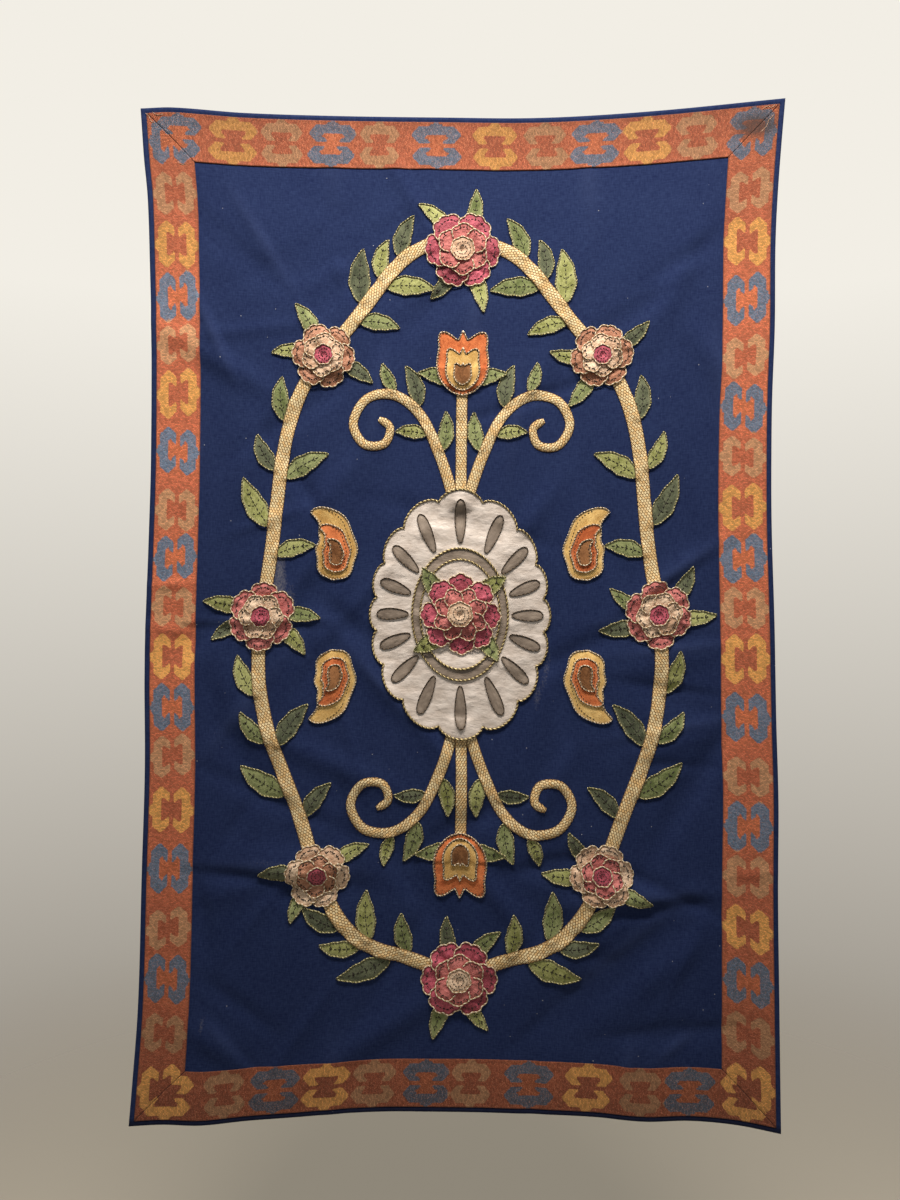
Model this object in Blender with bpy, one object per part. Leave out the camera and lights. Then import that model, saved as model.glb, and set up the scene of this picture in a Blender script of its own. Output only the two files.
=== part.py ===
"""Appliqué wall hanging: a navy cotton ground with a mitred woven border and sewn-on cloth pieces.

Metres, +Z up, +X to the right of the viewer, front towards -Y. The origin is on the back of the
top edge, at its middle. Pieces are laid out on the flat cloth in millimetres, as (across, down):
across from the centre line to the right, down from the top edge. Each is then carried onto the
cloth as it hangs.
"""

import math

import bmesh
import bpy
from mathutils import Vector
from mathutils.bvhtree import BVHTree

MM = 0.001

# The cloth as cut, and where its corners hang, as (x, z) from the middle of the top edge.
CLOTH_WIDTH = 1010.0
CLOTH_HEIGHT = 1600.0
CLOTH_THICKNESS = 2.0
# The hem is the cloth's own edge, turned under and pressed, and slopes down to the single cloth.
HEM_THICKNESS, HEM_WIDTH, HEM_SLOPE = 3.0, 6.0, 1.5
TOP_LEFT, TOP_RIGHT = (-499.0, 14.0), (508.5, 30.0)
BOTTOM_LEFT, BOTTOM_RIGHT = (-516.5, -1574.5), (500.5, -1586.5)

# How far each edge hangs inside the straight line between its corners.
# Columns: share of the way from left to right or from top to bottom, millimetres inwards.
TOP_SAG = (
    (0.00, 0.0), (0.05, -0.8), (0.16, 9.5), (0.30, 16.5), (0.46, 21.5),
    (0.62, 24.7), (0.79, 17.3), (1.00, 0.0),
)
BOTTOM_RISE = (
    (0.00, 0.0), (0.05, 3.3), (0.11, 2.5), (0.18, 11.0), (0.26, 18.2), (0.34, 25.4),
    (0.42, 28.6), (0.60, 26.9), (0.71, 23.6), (0.79, 16.8), (0.86, 19.1), (0.93, 13.7), (1.00, 0.0),
)
LEFT_DRAW = (
    (0.00, 0.0), (0.05, 6.7), (0.09, 13.4), (0.16, 18.4), (0.23, 22.1), (0.35, 23.6),
    (0.43, 21.4), (0.54, 17.5), (0.65, 19.7), (0.75, 16.7), (0.88, 12.9), (0.97, 3.7), (1.00, 0.0),
)
RIGHT_DRAW = (
    (0.00, 0.0), (0.08, 10.3), (0.14, 14.9), (0.22, 15.7), (0.29, 19.5), (0.34, 20.4),
    (0.41, 19.8), (0.51, 14.6), (0.60, 11.3), (0.68, 7.2), (0.77, 7.0), (0.87, 4.1), (1.00, 0.0),
)

# The cloth bellies forward between its held top edge and its heavier foot.
BELLY = 5.0
FOOT_STAND_OFF = 4.0
TOP_FADE = 70.0

# Main folds. Columns: across and down of the middle, angle of its line from +X, half its length,
# half its width, height towards the viewer, all but the angle in millimetres as the cloth hangs.
FOLDS = (
    (-386, 342, -67, 70, 20, 4.0),
    (-311, 186, -65, 80, 24, 2.5),
    (350, 180, 90, 80, 22, 2.0),
    (39, 202, -60, 45, 18, 3.0),
    (-132, 450, 85, 90, 24, 3.0),
    (-47, 505, 90, 95, 22, -2.0),
    (86, 474, 88, 115, 26, 3.0),
    (-295, 754, 95, 120, 26, 3.5),
    (-124, 886, -50, 75, 20, 4.0),
    (132, 894, 80, 70, 20, 4.0),
    (327, 715, 32, 85, 20, 3.0),
    (330, 847, 10, 75, 18, 3.0),
    (332, 909, -15, 75, 18, -2.5),
    (326, 980, 20, 75, 18, 3.0),
    (-350, 909, 110, 90, 24, 3.0),
    (-334, 1002, 120, 115, 26, -3.0),
    (-264, 1161, -4, 100, 22, 4.5),
    (-264, 1203, -6, 85, 20, -4.5),
    (155, 1166, 12, 70, 18, -4.0),
    (280, 1217, 4, 100, 20, 4.0),
    (202, 1286, 38, 120, 30, 4.0),
    (232, 1340, 41, 135, 28, -4.5),
    (-404, 1251, 95, 70, 20, -3.0),
    (-381, 1446, -35, 50, 20, 5.0),
    (326, 1430, 5, 95, 20, -3.5),
    (-249, 1314, 88, 160, 80, 5.0),
    (30, 1400, 94, 150, 60, -2.5),
    (420, 1120, 90, 300, 40, 3.0),
)
CLOTH_CELLS_ACROSS, CLOTH_CELLS_DOWN = 26, 40

# The woven border strips. The margin is the navy hem that shows outside each strip.
# Columns: margin and width at the start (left or top) end, margin and width at the other end.
BAND_TOP = (8.5, 77.0, 8.5, 77.0)
BAND_BOTTOM = (8.5, 77.0, 8.5, 77.0)
BAND_LEFT = (9.0, 71.0, 8.0, 73.0)
BAND_RIGHT = (8.5, 75.0, 8.0, 84.0)
BAND_THICKNESS = 1.2
BAND_CELLS_ACROSS, BAND_CELL_LENGTH = 2, 40.0

# Pieces stay this far apart: the seat gap is from cloth to cloth, the plan gap from edge to edge.
SEAT_GAP = 0.35
PLAN_GAP = 0.5
SAMPLE_PITCH = 2.5

# The wreath: an oval vine of eight arcs with a blossom where two arcs meet.
WREATH_CENTRE_DOWN = 800.0
WREATH_HALF_WIDTH, WREATH_HALF_HEIGHT = 318.0, 585.0
WREATH_SWAY = 8.0
VINE_WIDTH, VINE_THICKNESS = 22.0, 3.0
VINE_STEP = 26.0
ARC_SAMPLES = 400
BLOSSOM_COUNT = 8
BLOSSOM_PETALS = 6
# Radius of the blossoms, clockwise from the top one.
BLOSSOM_RADII = (62.0, 52.0, 55.0, 52.0, 62.0, 52.0, 55.0, 52.0)
BLOSSOM_COLOURS = ("rose", "salmon", "pink", "cream", "rose", "cream", "pink", "salmon")
CENTRE_COLOURS = ("cream", "cream", "cream", "rose", "cream", "rose", "cream", "cream")
PETAL_NOTCH = 0.20
BLOSSOM_EDGE, BLOSSOM_CROWN = 1.5, 3.0
CENTRE_SHARE = 0.36
CENTRE_THICKNESS = 1.6

# The satin medallion in the middle of the wreath, and the rose sewn on it.
MEDALLION_HALF_WIDTH, MEDALLION_HALF_HEIGHT = 145.0, 200.0
MEDALLION_SCALLOPS, MEDALLION_NOTCH = 16, 0.07
MEDALLION_EDGE, MEDALLION_CROWN = 1.6, 2.6
ROSE_RADIUS, ROSE_PETALS = 66.0, 8
EYE_RADIUS = 25.0

# Stalk, flower cup and two scrolls above the medallion, and the same again below it.
STALK_WIDTH, STALK_LENGTH = 18.0, 148.0
CUP_DISTANCE = 400.0
# Half of the cup's outline. Columns: angle from straight up in degrees, reach in millimetres.
CUP_OUTLINE = (
    (0.0, 55.0), (11.25, 41.0), (33.75, 63.0), (56.25, 47.0), (90.0, 42.0), (135.0, 44.0),
    (180.0, 49.0),
)
CUP_SPOKES = 32
CUP_EDGE, CUP_CROWN = 1.6, 2.8
# The scroll's centre line, as (across, up from the wreath's centre), and its width along it.
SCROLL_LINE = (
    (21, 216), (38, 262), (66, 318), (108, 350), (154, 344), (176, 306), (158, 272), (126, 272),
    (116, 298), (134, 312),
)
SCROLL_WIDTH_START, SCROLL_WIDTH_END, SCROLL_TIP_WIDTH = 19.0, 13.0, 8.0

# Four teardrops with a curled tip beside the medallion: middle as (across, up), length, width.
TEARDROP_AT = (206.0, 122.0)
TEARDROP_LENGTH, TEARDROP_WIDTH, TEARDROP_CURL = 132.0, 64.0, 105.0
TEARDROP_LEAN = 10.0
TEARDROP_EDGE, TEARDROP_CROWN = 1.5, 2.6

# Two leaves on each arc, which point up the vine. Columns: share of the way up the arc, side (+1 is
# outside the oval), angle from the vine, length, width, sideways bend towards the tip in degrees.
LEAVES = (
    (0.28, 1, 48.0, 84.0, 33.0, -26.0),
    (0.52, -1, 44.0, 76.0, 30.0, 24.0),
)
LEAF_EDGE, LEAF_CROWN = 1.0, 2.0
LEAF_FOOT_GAP = 1.5
LEAF_SEGMENTS = 8
LEAF_COLOURS = ("light_green", "mid_green", "dark_green")

# Colour, roughness and metallic value of each finish.
FINISHES = {
    "navy_cotton": ((0.022, 0.062, 0.205), 0.85, 0.0),
    "woven_band": ((0.52, 0.11, 0.055), 0.9, 0.0),
    "straw_mesh": ((0.72, 0.46, 0.20), 0.75, 0.0),
    "light_green": ((0.30, 0.36, 0.11), 0.75, 0.0),
    "mid_green": ((0.19, 0.30, 0.11), 0.75, 0.0),
    "dark_green": ((0.08, 0.15, 0.08), 0.75, 0.0),
    "pink": ((0.66, 0.13, 0.20), 0.6, 0.0),
    "rose": ((0.49, 0.07, 0.13), 0.6, 0.0),
    "salmon": ((0.55, 0.20, 0.15), 0.6, 0.0),
    "cream": ((0.80, 0.62, 0.46), 0.6, 0.0),
    "grey_satin": ((0.55, 0.52, 0.49), 0.4, 0.0),
    "orange_felt": ((0.72, 0.14, 0.05), 0.85, 0.0),
    "yellow_felt": ((0.74, 0.52, 0.13), 0.85, 0.0),
}


def eased(rows, share):
    """The value at share on a smooth curve through rows of (share, value)."""
    last = len(rows) - 2
    k = next((i for i in range(last + 1) if share <= rows[i + 1][0]), last)

    def slope(i):
        low, high = rows[max(i - 1, 0)], rows[min(i + 1, last + 1)]
        return (high[1] - low[1]) / (high[0] - low[0])

    (a, start), (b, end) = rows[k], rows[k + 1]
    t, span = (share - a) / (b - a), b - a
    return (
        start * (2 * t**3 - 3 * t**2 + 1)
        + slope(k) * span * (t**3 - 2 * t**2 + t)
        + end * (3 * t**2 - 2 * t**3)
        + slope(k + 1) * span * (t**3 - t**2)
    )


def between(a, b, t):
    """The point or number a share t of the way from a to b."""
    if isinstance(a, tuple):
        return tuple(p + (q - p) * t for p, q in zip(a, b))
    return a + (b - a) * t


def hung_place(across, down):
    """Where a point of the flat cloth hangs, as (x, z): its four edges blended over its face."""
    u = min(max(0.5 + across / CLOTH_WIDTH, 0.0), 1.0)
    v = min(max(down / CLOTH_HEIGHT, 0.0), 1.0)
    top, bottom = between(TOP_LEFT, TOP_RIGHT, u), between(BOTTOM_LEFT, BOTTOM_RIGHT, u)
    x, z = between(top, bottom, v)
    x += (1 - u) * eased(LEFT_DRAW, v) - u * eased(RIGHT_DRAW, v)
    z += v * eased(BOTTOM_RISE, u) - (1 - v) * eased(TOP_SAG, u)
    return x, z


def relief(x, z):
    """How far the back of the cloth stands off the wall at (x, z)."""
    share = min(max(-z / CLOTH_HEIGHT, 0.0), 1.0)
    height = BELLY * math.sin(math.pi * share) + FOOT_STAND_OFF * share**2
    for across, down, angle, half_length, half_width, crest in FOLDS:
        turn = math.radians(angle)
        dx, dz = x - across, z + down
        along = (dx * math.cos(turn) + dz * math.sin(turn)) / half_length
        aside = (dz * math.cos(turn) - dx * math.sin(turn)) / half_width
        height += crest * math.exp(-(along**2) - aside**2)
    held = min(max(-z / TOP_FADE, 0.0), 1.0)
    return max(height, 0.0) * held * held * (3 - 2 * held)


def make_finish(name):
    """A plain material from FINISHES."""
    if name in bpy.data.materials:
        return bpy.data.materials[name]
    colour, roughness, metallic = FINISHES[name]
    material = bpy.data.materials.new(name)
    material.use_nodes = True
    shader = material.node_tree.nodes["Principled BSDF"]
    shader.inputs["Base Color"].default_value = (*colour, 1.0)
    shader.inputs["Roughness"].default_value = roughness
    shader.inputs["Metallic"].default_value = metallic
    return material


def halves(a, b, c, d):
    """The two triangles of a quad."""
    return [(a, b, c), (a, c, d)]


def grid_faces(rows, columns):
    """The triangles of a grid of points numbered row by row."""
    faces = []
    for r in range(rows - 1):
        for k in range(r * columns, (r + 1) * columns - 1):
            faces += halves(k, k + 1, k + 1 + columns, k + columns)
    return faces


def thickened(name, back, faces, thickness, finish, parent):
    """A closed solid: the back points, joined by faces and drawn forward by each one's thickness.

    The object's origin is at the middle of its back.
    """
    middle = Vector([sum(point[k] for point in back) / len(back) for k in range(3)])
    mesh, shape = bpy.data.meshes.new(name), bmesh.new()
    depth = shape.verts.layers.float.new("thickness")
    corners = [shape.verts.new(Vector(point) - middle) for point in back]
    for corner, own in zip(corners, thickness):
        corner[depth] = own * MM
    for face in faces:
        shape.faces.new([corners[i] for i in face])
    front = bmesh.ops.extrude_face_region(shape, geom=shape.faces[:], use_keep_orig=True)
    for element in front["geom"]:
        if isinstance(element, bmesh.types.BMVert):
            element.co.y -= element[depth]
    shape.verts.layers.float.remove(depth)
    bmesh.ops.recalc_face_normals(shape, faces=shape.faces)
    shape.to_mesh(mesh)
    shape.free()
    mesh.materials.append(make_finish(finish))
    piece = bpy.data.objects.new(name, mesh)
    piece.location = middle
    piece.parent = parent
    bpy.context.scene.collection.objects.link(piece)
    return piece


def tree_of(pieces):
    """A search tree over the faces of some finished pieces, to seat others on."""
    points, faces = [], []
    for piece in pieces:
        start = len(points)
        points += [vertex.co + piece.location for vertex in piece.data.vertices]
        faces += [[start + i for i in face.vertices] for face in piece.data.polygons]
    return BVHTree.FromPolygons(points, faces)


def front_of(tree, x, z):
    """The y of the foremost face at (x, z), looking along +Y."""
    place = tree.ray_cast(Vector((x, -1.0, z)), Vector((0.0, 1.0, 0.0)))[0]
    return place.y


def sew_on(name, plan, faces, thickness, finish, tree, parent):
    """A piece laid on what is under it. plan holds its flat points as (across, down).

    Its back follows the faces of the tree at its own points, and the whole piece is then moved
    forward until the smallest gap between them is SEAT_GAP.
    """
    hung = [tuple(k * MM for k in hung_place(*point)) for point in plan]
    back = [Vector((x, front_of(tree, x, z), z)) for x, z in hung]
    deepest = 0.0
    for face in faces:
        a, b, c = (back[i] for i in face)
        steps = math.ceil(max((b - a).length, (c - a).length) / (SAMPLE_PITCH * MM))
        for i in range(steps + 1):
            for j in range(steps + 1 - i):
                point = a + (b - a) * (i / steps) + (c - a) * (j / steps)
                deepest = max(deepest, point.y - front_of(tree, point.x, point.z))
    shift = Vector((0.0, deepest + SEAT_GAP * MM, 0.0))
    return thickened(name, [p - shift for p in back], faces, thickness, finish, parent)


def cloth_lines(size, cells):
    """Where the grid lines of the cloth lie along one side: even cells between its two hems."""
    hem = [0.0, HEM_WIDTH, HEM_WIDTH + HEM_SLOPE]
    inner = size - 2 * hem[-1]
    even = [hem[-1] + inner * k / cells for k in range(1, cells)]
    return hem + even + [size - line for line in reversed(hem)]


def make_ground(parent):
    """The navy ground cloth with its hem."""
    across_lines = cloth_lines(CLOTH_WIDTH, CLOTH_CELLS_ACROSS)
    down_lines = cloth_lines(CLOTH_HEIGHT, CLOTH_CELLS_DOWN)
    back, thickness = [], []
    for down in down_lines:
        for across in across_lines:
            x, z = hung_place(across - CLOTH_WIDTH / 2, down)
            back.append((x * MM, -relief(x, z) * MM, z * MM))
            inside = min(across, CLOTH_WIDTH - across, down, CLOTH_HEIGHT - down)
            thickness.append(HEM_THICKNESS if inside <= HEM_WIDTH else CLOTH_THICKNESS)
    faces = grid_faces(len(down_lines), len(across_lines))
    return thickened("ground_cloth", back, faces, thickness, "navy_cotton", parent)


def band_insets(band, share):
    """How far the outer and the inner edge of a border strip lie from the cloth's edge."""
    margin, width = between(band[0], band[2], share), between(band[1], band[3], share)
    return margin, margin + width


def border_corners():
    """The outer and inner corner of the border at each corner of the cloth, as (across, down)."""
    corners = {}
    for name, u, v, level, upright in (
        ("top_left", 0, 0, BAND_TOP, BAND_LEFT),
        ("top_right", 1, 0, BAND_TOP, BAND_RIGHT),
        ("bottom_left", 0, 1, BAND_BOTTOM, BAND_LEFT),
        ("bottom_right", 1, 1, BAND_BOTTOM, BAND_RIGHT),
    ):
        corners[name] = [
            (
                (u - 0.5) * CLOTH_WIDTH + (1 - 2 * u) * side,
                v * CLOTH_HEIGHT + (1 - 2 * v) * end,
            )
            for side, end in zip(band_insets(upright, v), band_insets(level, u))
        ]
    return corners


def make_border(tree, parent):
    """The four woven strips, mitred at the corners."""
    corners = border_corners()
    for name, first, last in (
        ("border_top", "top_left", "top_right"),
        ("border_bottom", "bottom_left", "bottom_right"),
        ("border_left", "top_left", "bottom_left"),
        ("border_right", "top_right", "bottom_right"),
    ):
        outer, inner = zip(corners[first], corners[last])
        cells = math.ceil(math.dist(*outer) / BAND_CELL_LENGTH)
        plan = []
        for k in range(cells + 1):
            for c in range(BAND_CELLS_ACROSS + 1):
                start, end = (between(outer[i], inner[i], c / BAND_CELLS_ACROSS) for i in (0, 1))
                trim = PLAN_GAP / math.dist(start, end)
                plan.append(between(start, end, trim + (1 - 2 * trim) * k / cells))
        faces = grid_faces(cells + 1, BAND_CELLS_ACROSS + 1)
        thickness = [BAND_THICKNESS] * len(plan)
        sew_on(name, plan, faces, thickness, "woven_band", tree, parent)


def curve_through(points, step):
    """Points about a step apart on a smooth curve through the given ones."""
    line = []
    for k in range(len(points) - 1):
        before, after = points[max(k - 1, 0)], points[min(k + 2, len(points) - 1)]
        a, b = points[k], points[k + 1]
        pieces = max(1, round(math.dist(a, b) / step))
        for i in range(pieces):
            t = i / pieces
            line.append(
                tuple(
                    0.5
                    * (
                        2 * a[n]
                        + (b[n] - before[n]) * t
                        + (2 * before[n] - 5 * a[n] + 4 * b[n] - after[n]) * t**2
                        + (3 * a[n] - before[n] - 3 * b[n] + after[n]) * t**3
                    )
                    for n in (0, 1)
                )
            )
    return line + [tuple(points[-1])]


def ribbon(line, widths, edge, crown, pointed=(False, False)):
    """Flat points, faces and thicknesses of a strip along a line, thickest at its middle.

    A pointed end is a single point.
    """
    plan, thickness, rows = [], [], []
    for k, (place, width) in enumerate(zip(line, widths)):
        ahead, behind = line[min(k + 1, len(line) - 1)], line[max(k - 1, 0)]
        length = math.dist(ahead, behind)
        aside = ((behind[1] - ahead[1]) / length, (ahead[0] - behind[0]) / length)
        sharp = (k == 0 and pointed[0]) or (k == len(line) - 1 and pointed[1])
        offsets = (0.0,) if sharp else (-width / 2, 0.0, width / 2)
        rows.append([len(plan) + i for i in range(len(offsets))])
        for offset in offsets:
            plan.append((place[0] + aside[0] * offset, place[1] + aside[1] * offset))
            thickness.append(edge if offset or sharp else crown)
    faces = []
    for low, high in zip(rows, rows[1:]):
        if len(low) == 1:
            faces += [(low[0], high[0], high[1]), (low[0], high[1], high[2])]
        elif len(high) == 1:
            faces += [(low[0], high[0], low[1]), (low[1], high[0], low[2])]
        else:
            for i in (0, 1):
                faces += halves(low[i], high[i], high[i + 1], low[i + 1])
    return plan, faces, thickness


def fan(centre, radius_at, spokes, edge, crown, shares=(0.5, 1.0)):
    """Flat points, faces and thicknesses of a round piece, thickest at its middle.

    radius_at gives its reach at an angle clockwise from straight up.
    """
    plan, thickness = [centre], [crown]
    for share in shares:
        for k in range(spokes):
            angle = 2 * math.pi * k / spokes
            reach = radius_at(angle) * share
            plan.append(
                (centre[0] + reach * math.sin(angle), centre[1] - reach * math.cos(angle))
            )
            thickness.append(between(crown, edge, share**2))
    faces = [(0, 1 + k, 1 + (k + 1) % spokes) for k in range(spokes)]
    for ring in range(len(shares) - 1):
        start = 1 + ring * spokes
        for k in range(spokes):
            n = (k + 1) % spokes
            faces += halves(start + k, start + spokes + k, start + spokes + n, start + n)
    return plan, faces, thickness


def petals(radius, count, notch, turn):
    """The reach of a ring of round petals at each angle, one of them at the angle turn."""

    def reach(angle):
        return radius * (1 - notch + notch * abs(math.cos(count * (angle - turn) / 2)) ** 0.7)

    return reach


def wreath_point(angle):
    """A point of the oval, clockwise from its top, swaying in and out once along each arc."""
    side = math.copysign(1.0, math.sin(angle))
    sway = 1 + side * WREATH_SWAY / WREATH_HALF_WIDTH * math.sin(BLOSSOM_COUNT * angle)
    return (
        WREATH_HALF_WIDTH * sway * math.sin(angle),
        WREATH_CENTRE_DOWN - WREATH_HALF_HEIGHT * sway * math.cos(angle),
    )


def blossom_place(index):
    """The middle of a blossom on the oval."""
    return wreath_point(2 * math.pi * index / BLOSSOM_COUNT)


def arc_line(index):
    """The centre line of a right-hand arc, upwards, clear of the blossoms at both its ends."""
    span = 2 * math.pi / BLOSSOM_COUNT
    fine = [wreath_point(span * (index + k / ARC_SAMPLES)) for k in range(ARC_SAMPLES + 1)]
    clear = []
    for behind, point, ahead in zip(fine, fine[1:], fine[2:]):
        share = VINE_WIDTH / 2 / math.dist(behind, ahead)
        aside = ((ahead[1] - behind[1]) * share, (behind[0] - ahead[0]) * share)
        sides = [(point[0] + k * aside[0], point[1] + k * aside[1]) for k in (-1, 0, 1)]
        if all(
            math.dist(side, blossom_place(n)) > BLOSSOM_RADII[n] + PLAN_GAP
            for side in sides
            for n in (index, index + 1)
        ):
            clear.append(point)
    count = round(len(clear) * math.dist(fine[0], fine[-1]) / ARC_SAMPLES / VINE_STEP)
    return [clear[round(k * (len(clear) - 1) / count)] for k in range(count, -1, -1)]


def leaf_line(base, direction, length, bend, onset=1.0):
    """The centre line of a leaf from its base, its direction turning by bend on the way.

    The higher the onset, the more of the turn lies near the tip.
    """
    step, line = length / LEAF_SEGMENTS, [base]
    for k in range(LEAF_SEGMENTS):
        angle = math.radians(direction + bend * ((k + 0.5) / LEAF_SEGMENTS) ** onset)
        line.append((line[-1][0] + step * math.cos(angle), line[-1][1] + step * math.sin(angle)))
    return line


def swelling(width, lead, roundness):
    """The width along a leaf, widest nearer its base for a smaller lead and blunter for a smaller
    roundness."""
    shares = [k / LEAF_SEGMENTS for k in range(1, LEAF_SEGMENTS)]
    return [0.0, *(width * math.sin(math.pi * s**lead) ** roundness for s in shares), 0.0]


def leaf_on(line, share, side, spread, length, width, bend):
    """The shape of a leaf whose foot is beside the vine's centre line."""
    place = share * (len(line) - 1)
    n = int(place)
    foot = between(line[n], line[n + 1], place - n)
    ahead = math.degrees(math.atan2(line[n + 1][1] - line[n][1], line[n + 1][0] - line[n][0]))
    off = math.radians(ahead + 90 * side)
    reach = VINE_WIDTH / 2 + LEAF_FOOT_GAP
    base = (foot[0] + reach * math.cos(off), foot[1] + reach * math.sin(off))
    spine = leaf_line(base, ahead + side * spread, length, side * bend)
    return ribbon(spine, swelling(width, 0.8, 0.85), LEAF_EDGE, LEAF_CROWN, (True, True))


def make_vine_and_leaves(tree, parent):
    """The eight arcs of the wreath with two leaves on each, the left half mirroring the right."""
    half = BLOSSOM_COUNT // 2
    for index in range(BLOSSOM_COUNT):
        side = 1 if index < half else -1
        line = arc_line(index if side > 0 else BLOSSOM_COUNT - 1 - index)
        widths = [VINE_WIDTH] * len(line)
        shape = ribbon(line, widths, VINE_THICKNESS / 2, VINE_THICKNESS)
        pieces = [(f"vine_arc_{index + 1}", "straw_mesh", shape)]
        for k, row in enumerate(LEAVES):
            number = len(LEAVES) * index + k
            colour = LEAF_COLOURS[number % len(LEAF_COLOURS)]
            pieces.append((f"leaf_{number + 1}", colour, leaf_on(line, *row)))
        for name, finish, (plan, faces, thickness) in pieces:
            plan = [(side * across, down) for across, down in plan]
            sew_on(name, plan, faces, thickness, finish, tree, parent)


def make_blossoms(tree, ground, parent):
    """The eight blossoms, a petal of each lying along the vine, and their round centres."""
    spokes = 4 * BLOSSOM_PETALS
    for index in range(BLOSSOM_COUNT):
        place, radius = blossom_place(index), BLOSSOM_RADII[index]
        before, after = (
            wreath_point(2 * math.pi * index / BLOSSOM_COUNT + step) for step in (-0.1, 0.1)
        )
        turn = math.atan2(after[0] - before[0], before[1] - after[1])
        reach = petals(radius, BLOSSOM_PETALS, PETAL_NOTCH, turn)
        shape = fan(place, reach, spokes, BLOSSOM_EDGE, BLOSSOM_CROWN)
        colour = BLOSSOM_COLOURS[index]
        piece = sew_on(f"blossom_{index + 1}", *shape, colour, tree, parent)
        middle = fan(
            place,
            lambda angle, r=radius: r * CENTRE_SHARE,
            2 * BLOSSOM_PETALS,
            CENTRE_THICKNESS,
            CENTRE_THICKNESS,
            (1.0,),
        )
        seat = tree_of([ground, piece])
        colour = CENTRE_COLOURS[index]
        sew_on(f"blossom_centre_{index + 1}", *middle, colour, seat, parent)


def make_medallion(tree, ground, parent):
    """The scalloped satin medallion, the rose on it and the rose's eye."""
    middle = (0.0, WREATH_CENTRE_DOWN)

    def reach(angle):
        oval = math.hypot(
            math.sin(angle) / MEDALLION_HALF_WIDTH, math.cos(angle) / MEDALLION_HALF_HEIGHT
        )
        scallop = abs(math.cos(MEDALLION_SCALLOPS * angle / 2)) ** 0.6
        return (1 - MEDALLION_NOTCH + MEDALLION_NOTCH * scallop) / oval

    shape = fan(
        middle, reach, 4 * MEDALLION_SCALLOPS, MEDALLION_EDGE, MEDALLION_CROWN, (0.35, 0.7, 1.0)
    )
    base = sew_on("medallion", *shape, "grey_satin", tree, parent)
    shape = fan(
        middle, petals(ROSE_RADIUS, ROSE_PETALS, PETAL_NOTCH, 0.0), 4 * ROSE_PETALS,
        BLOSSOM_EDGE, BLOSSOM_CROWN,
    )
    rose = sew_on("medallion_rose", *shape, "rose", tree_of([ground, base]), parent)
    shape = fan(
        middle, lambda angle: EYE_RADIUS, 2 * ROSE_PETALS, CENTRE_THICKNESS, CENTRE_THICKNESS,
        (1.0,),
    )
    sew_on("medallion_eye", *shape, "cream", tree_of([ground, base, rose]), parent)


def cup_reach(angle):
    """The reach of the flower cup: a rounded foot below, three points above."""
    return eased(CUP_OUTLINE, abs(math.degrees(math.remainder(angle, 2 * math.pi))))


def flipped(plan):
    """The flat points mirrored about the wreath's centre, top for bottom."""
    return [(across, 2 * WREATH_CENTRE_DOWN - down) for across, down in plan]


def make_sprays(tree, parent):
    """Above and below the medallion: a stalk, its flower cup and two scrolls."""
    foot = MEDALLION_HALF_HEIGHT + PLAN_GAP
    stalk = [(0.0, WREATH_CENTRE_DOWN - foot - STALK_LENGTH * k / 3) for k in range(4)]
    stalk_shape = ribbon(stalk, [STALK_WIDTH] * len(stalk), VINE_THICKNESS / 2, VINE_THICKNESS)
    middle = (0.0, WREATH_CENTRE_DOWN - CUP_DISTANCE)
    cup_shape = fan(middle, cup_reach, CUP_SPOKES, CUP_EDGE, CUP_CROWN)
    line = curve_through([(x, WREATH_CENTRE_DOWN - up) for x, up in SCROLL_LINE], VINE_STEP / 2)
    last = len(line) - 1
    widths = [between(SCROLL_WIDTH_START, SCROLL_WIDTH_END, k / last) for k in range(last)]
    scroll_shape = ribbon(line, widths + [SCROLL_TIP_WIDTH], VINE_THICKNESS / 2, VINE_THICKNESS)
    for place, upper in (("upper", True), ("lower", False)):
        for name, colour, (plan, faces, thickness) in (
            (f"stalk_{place}", "straw_mesh", stalk_shape),
            (f"flower_cup_{place}", "orange_felt", cup_shape),
            (f"scroll_{place}_right", "straw_mesh", scroll_shape),
            (f"scroll_{place}_left", "straw_mesh", scroll_shape),
        ):
            plan = plan if upper else flipped(plan)
            if name.endswith("left"):
                plan = [(-across, down) for across, down in plan]
            sew_on(name, plan, faces, thickness, colour, tree, parent)


def make_teardrops(tree, parent):
    """Four teardrops with curled tips, two on each side of the medallion."""
    across, up = TEARDROP_AT
    start = (across, WREATH_CENTRE_DOWN - up + TEARDROP_LENGTH / 2)
    line = leaf_line(start, -90.0 - TEARDROP_LEAN, TEARDROP_LENGTH, TEARDROP_CURL, 2.5)
    widths = swelling(TEARDROP_WIDTH, 0.6, 0.7)
    plan, faces, thickness = ribbon(line, widths, TEARDROP_EDGE, TEARDROP_CROWN, (True, True))
    for number, (side, upper) in enumerate(((1, True), (1, False), (-1, False), (-1, True))):
        own = plan if upper else flipped(plan)
        own = [(side * x, down) for x, down in own]
        sew_on(f"teardrop_{number + 1}", own, faces, thickness, "yellow_felt", tree, parent)


def main():
    for old in list(bpy.data.objects):
        bpy.data.objects.remove(old, do_unlink=True)
    hanging = bpy.data.objects.new("hanging", None)
    bpy.context.scene.collection.objects.link(hanging)
    ground = make_ground(hanging)
    tree = tree_of([ground])
    make_border(tree, hanging)
    make_vine_and_leaves(tree, hanging)
    make_blossoms(tree, ground, hanging)
    make_medallion(tree, ground, hanging)
    make_sprays(tree, hanging)
    make_teardrops(tree, hanging)


main()
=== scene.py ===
"""Looks of an appliqué wall hanging: a navy cotton cloth with a woven border and sewn-on pieces.

Every piece is laid out on the flat cloth in millimetres, as (across, down): across from the middle
line to the right, down from the top edge. A third number, the lift, is how far it stands above the
front of the cloth. HungForm carries these onto the cloth as it hangs, so that each piece follows the
folds, and Stack remembers what lies where, so that each piece is draped over the ones below it.
"""

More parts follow.
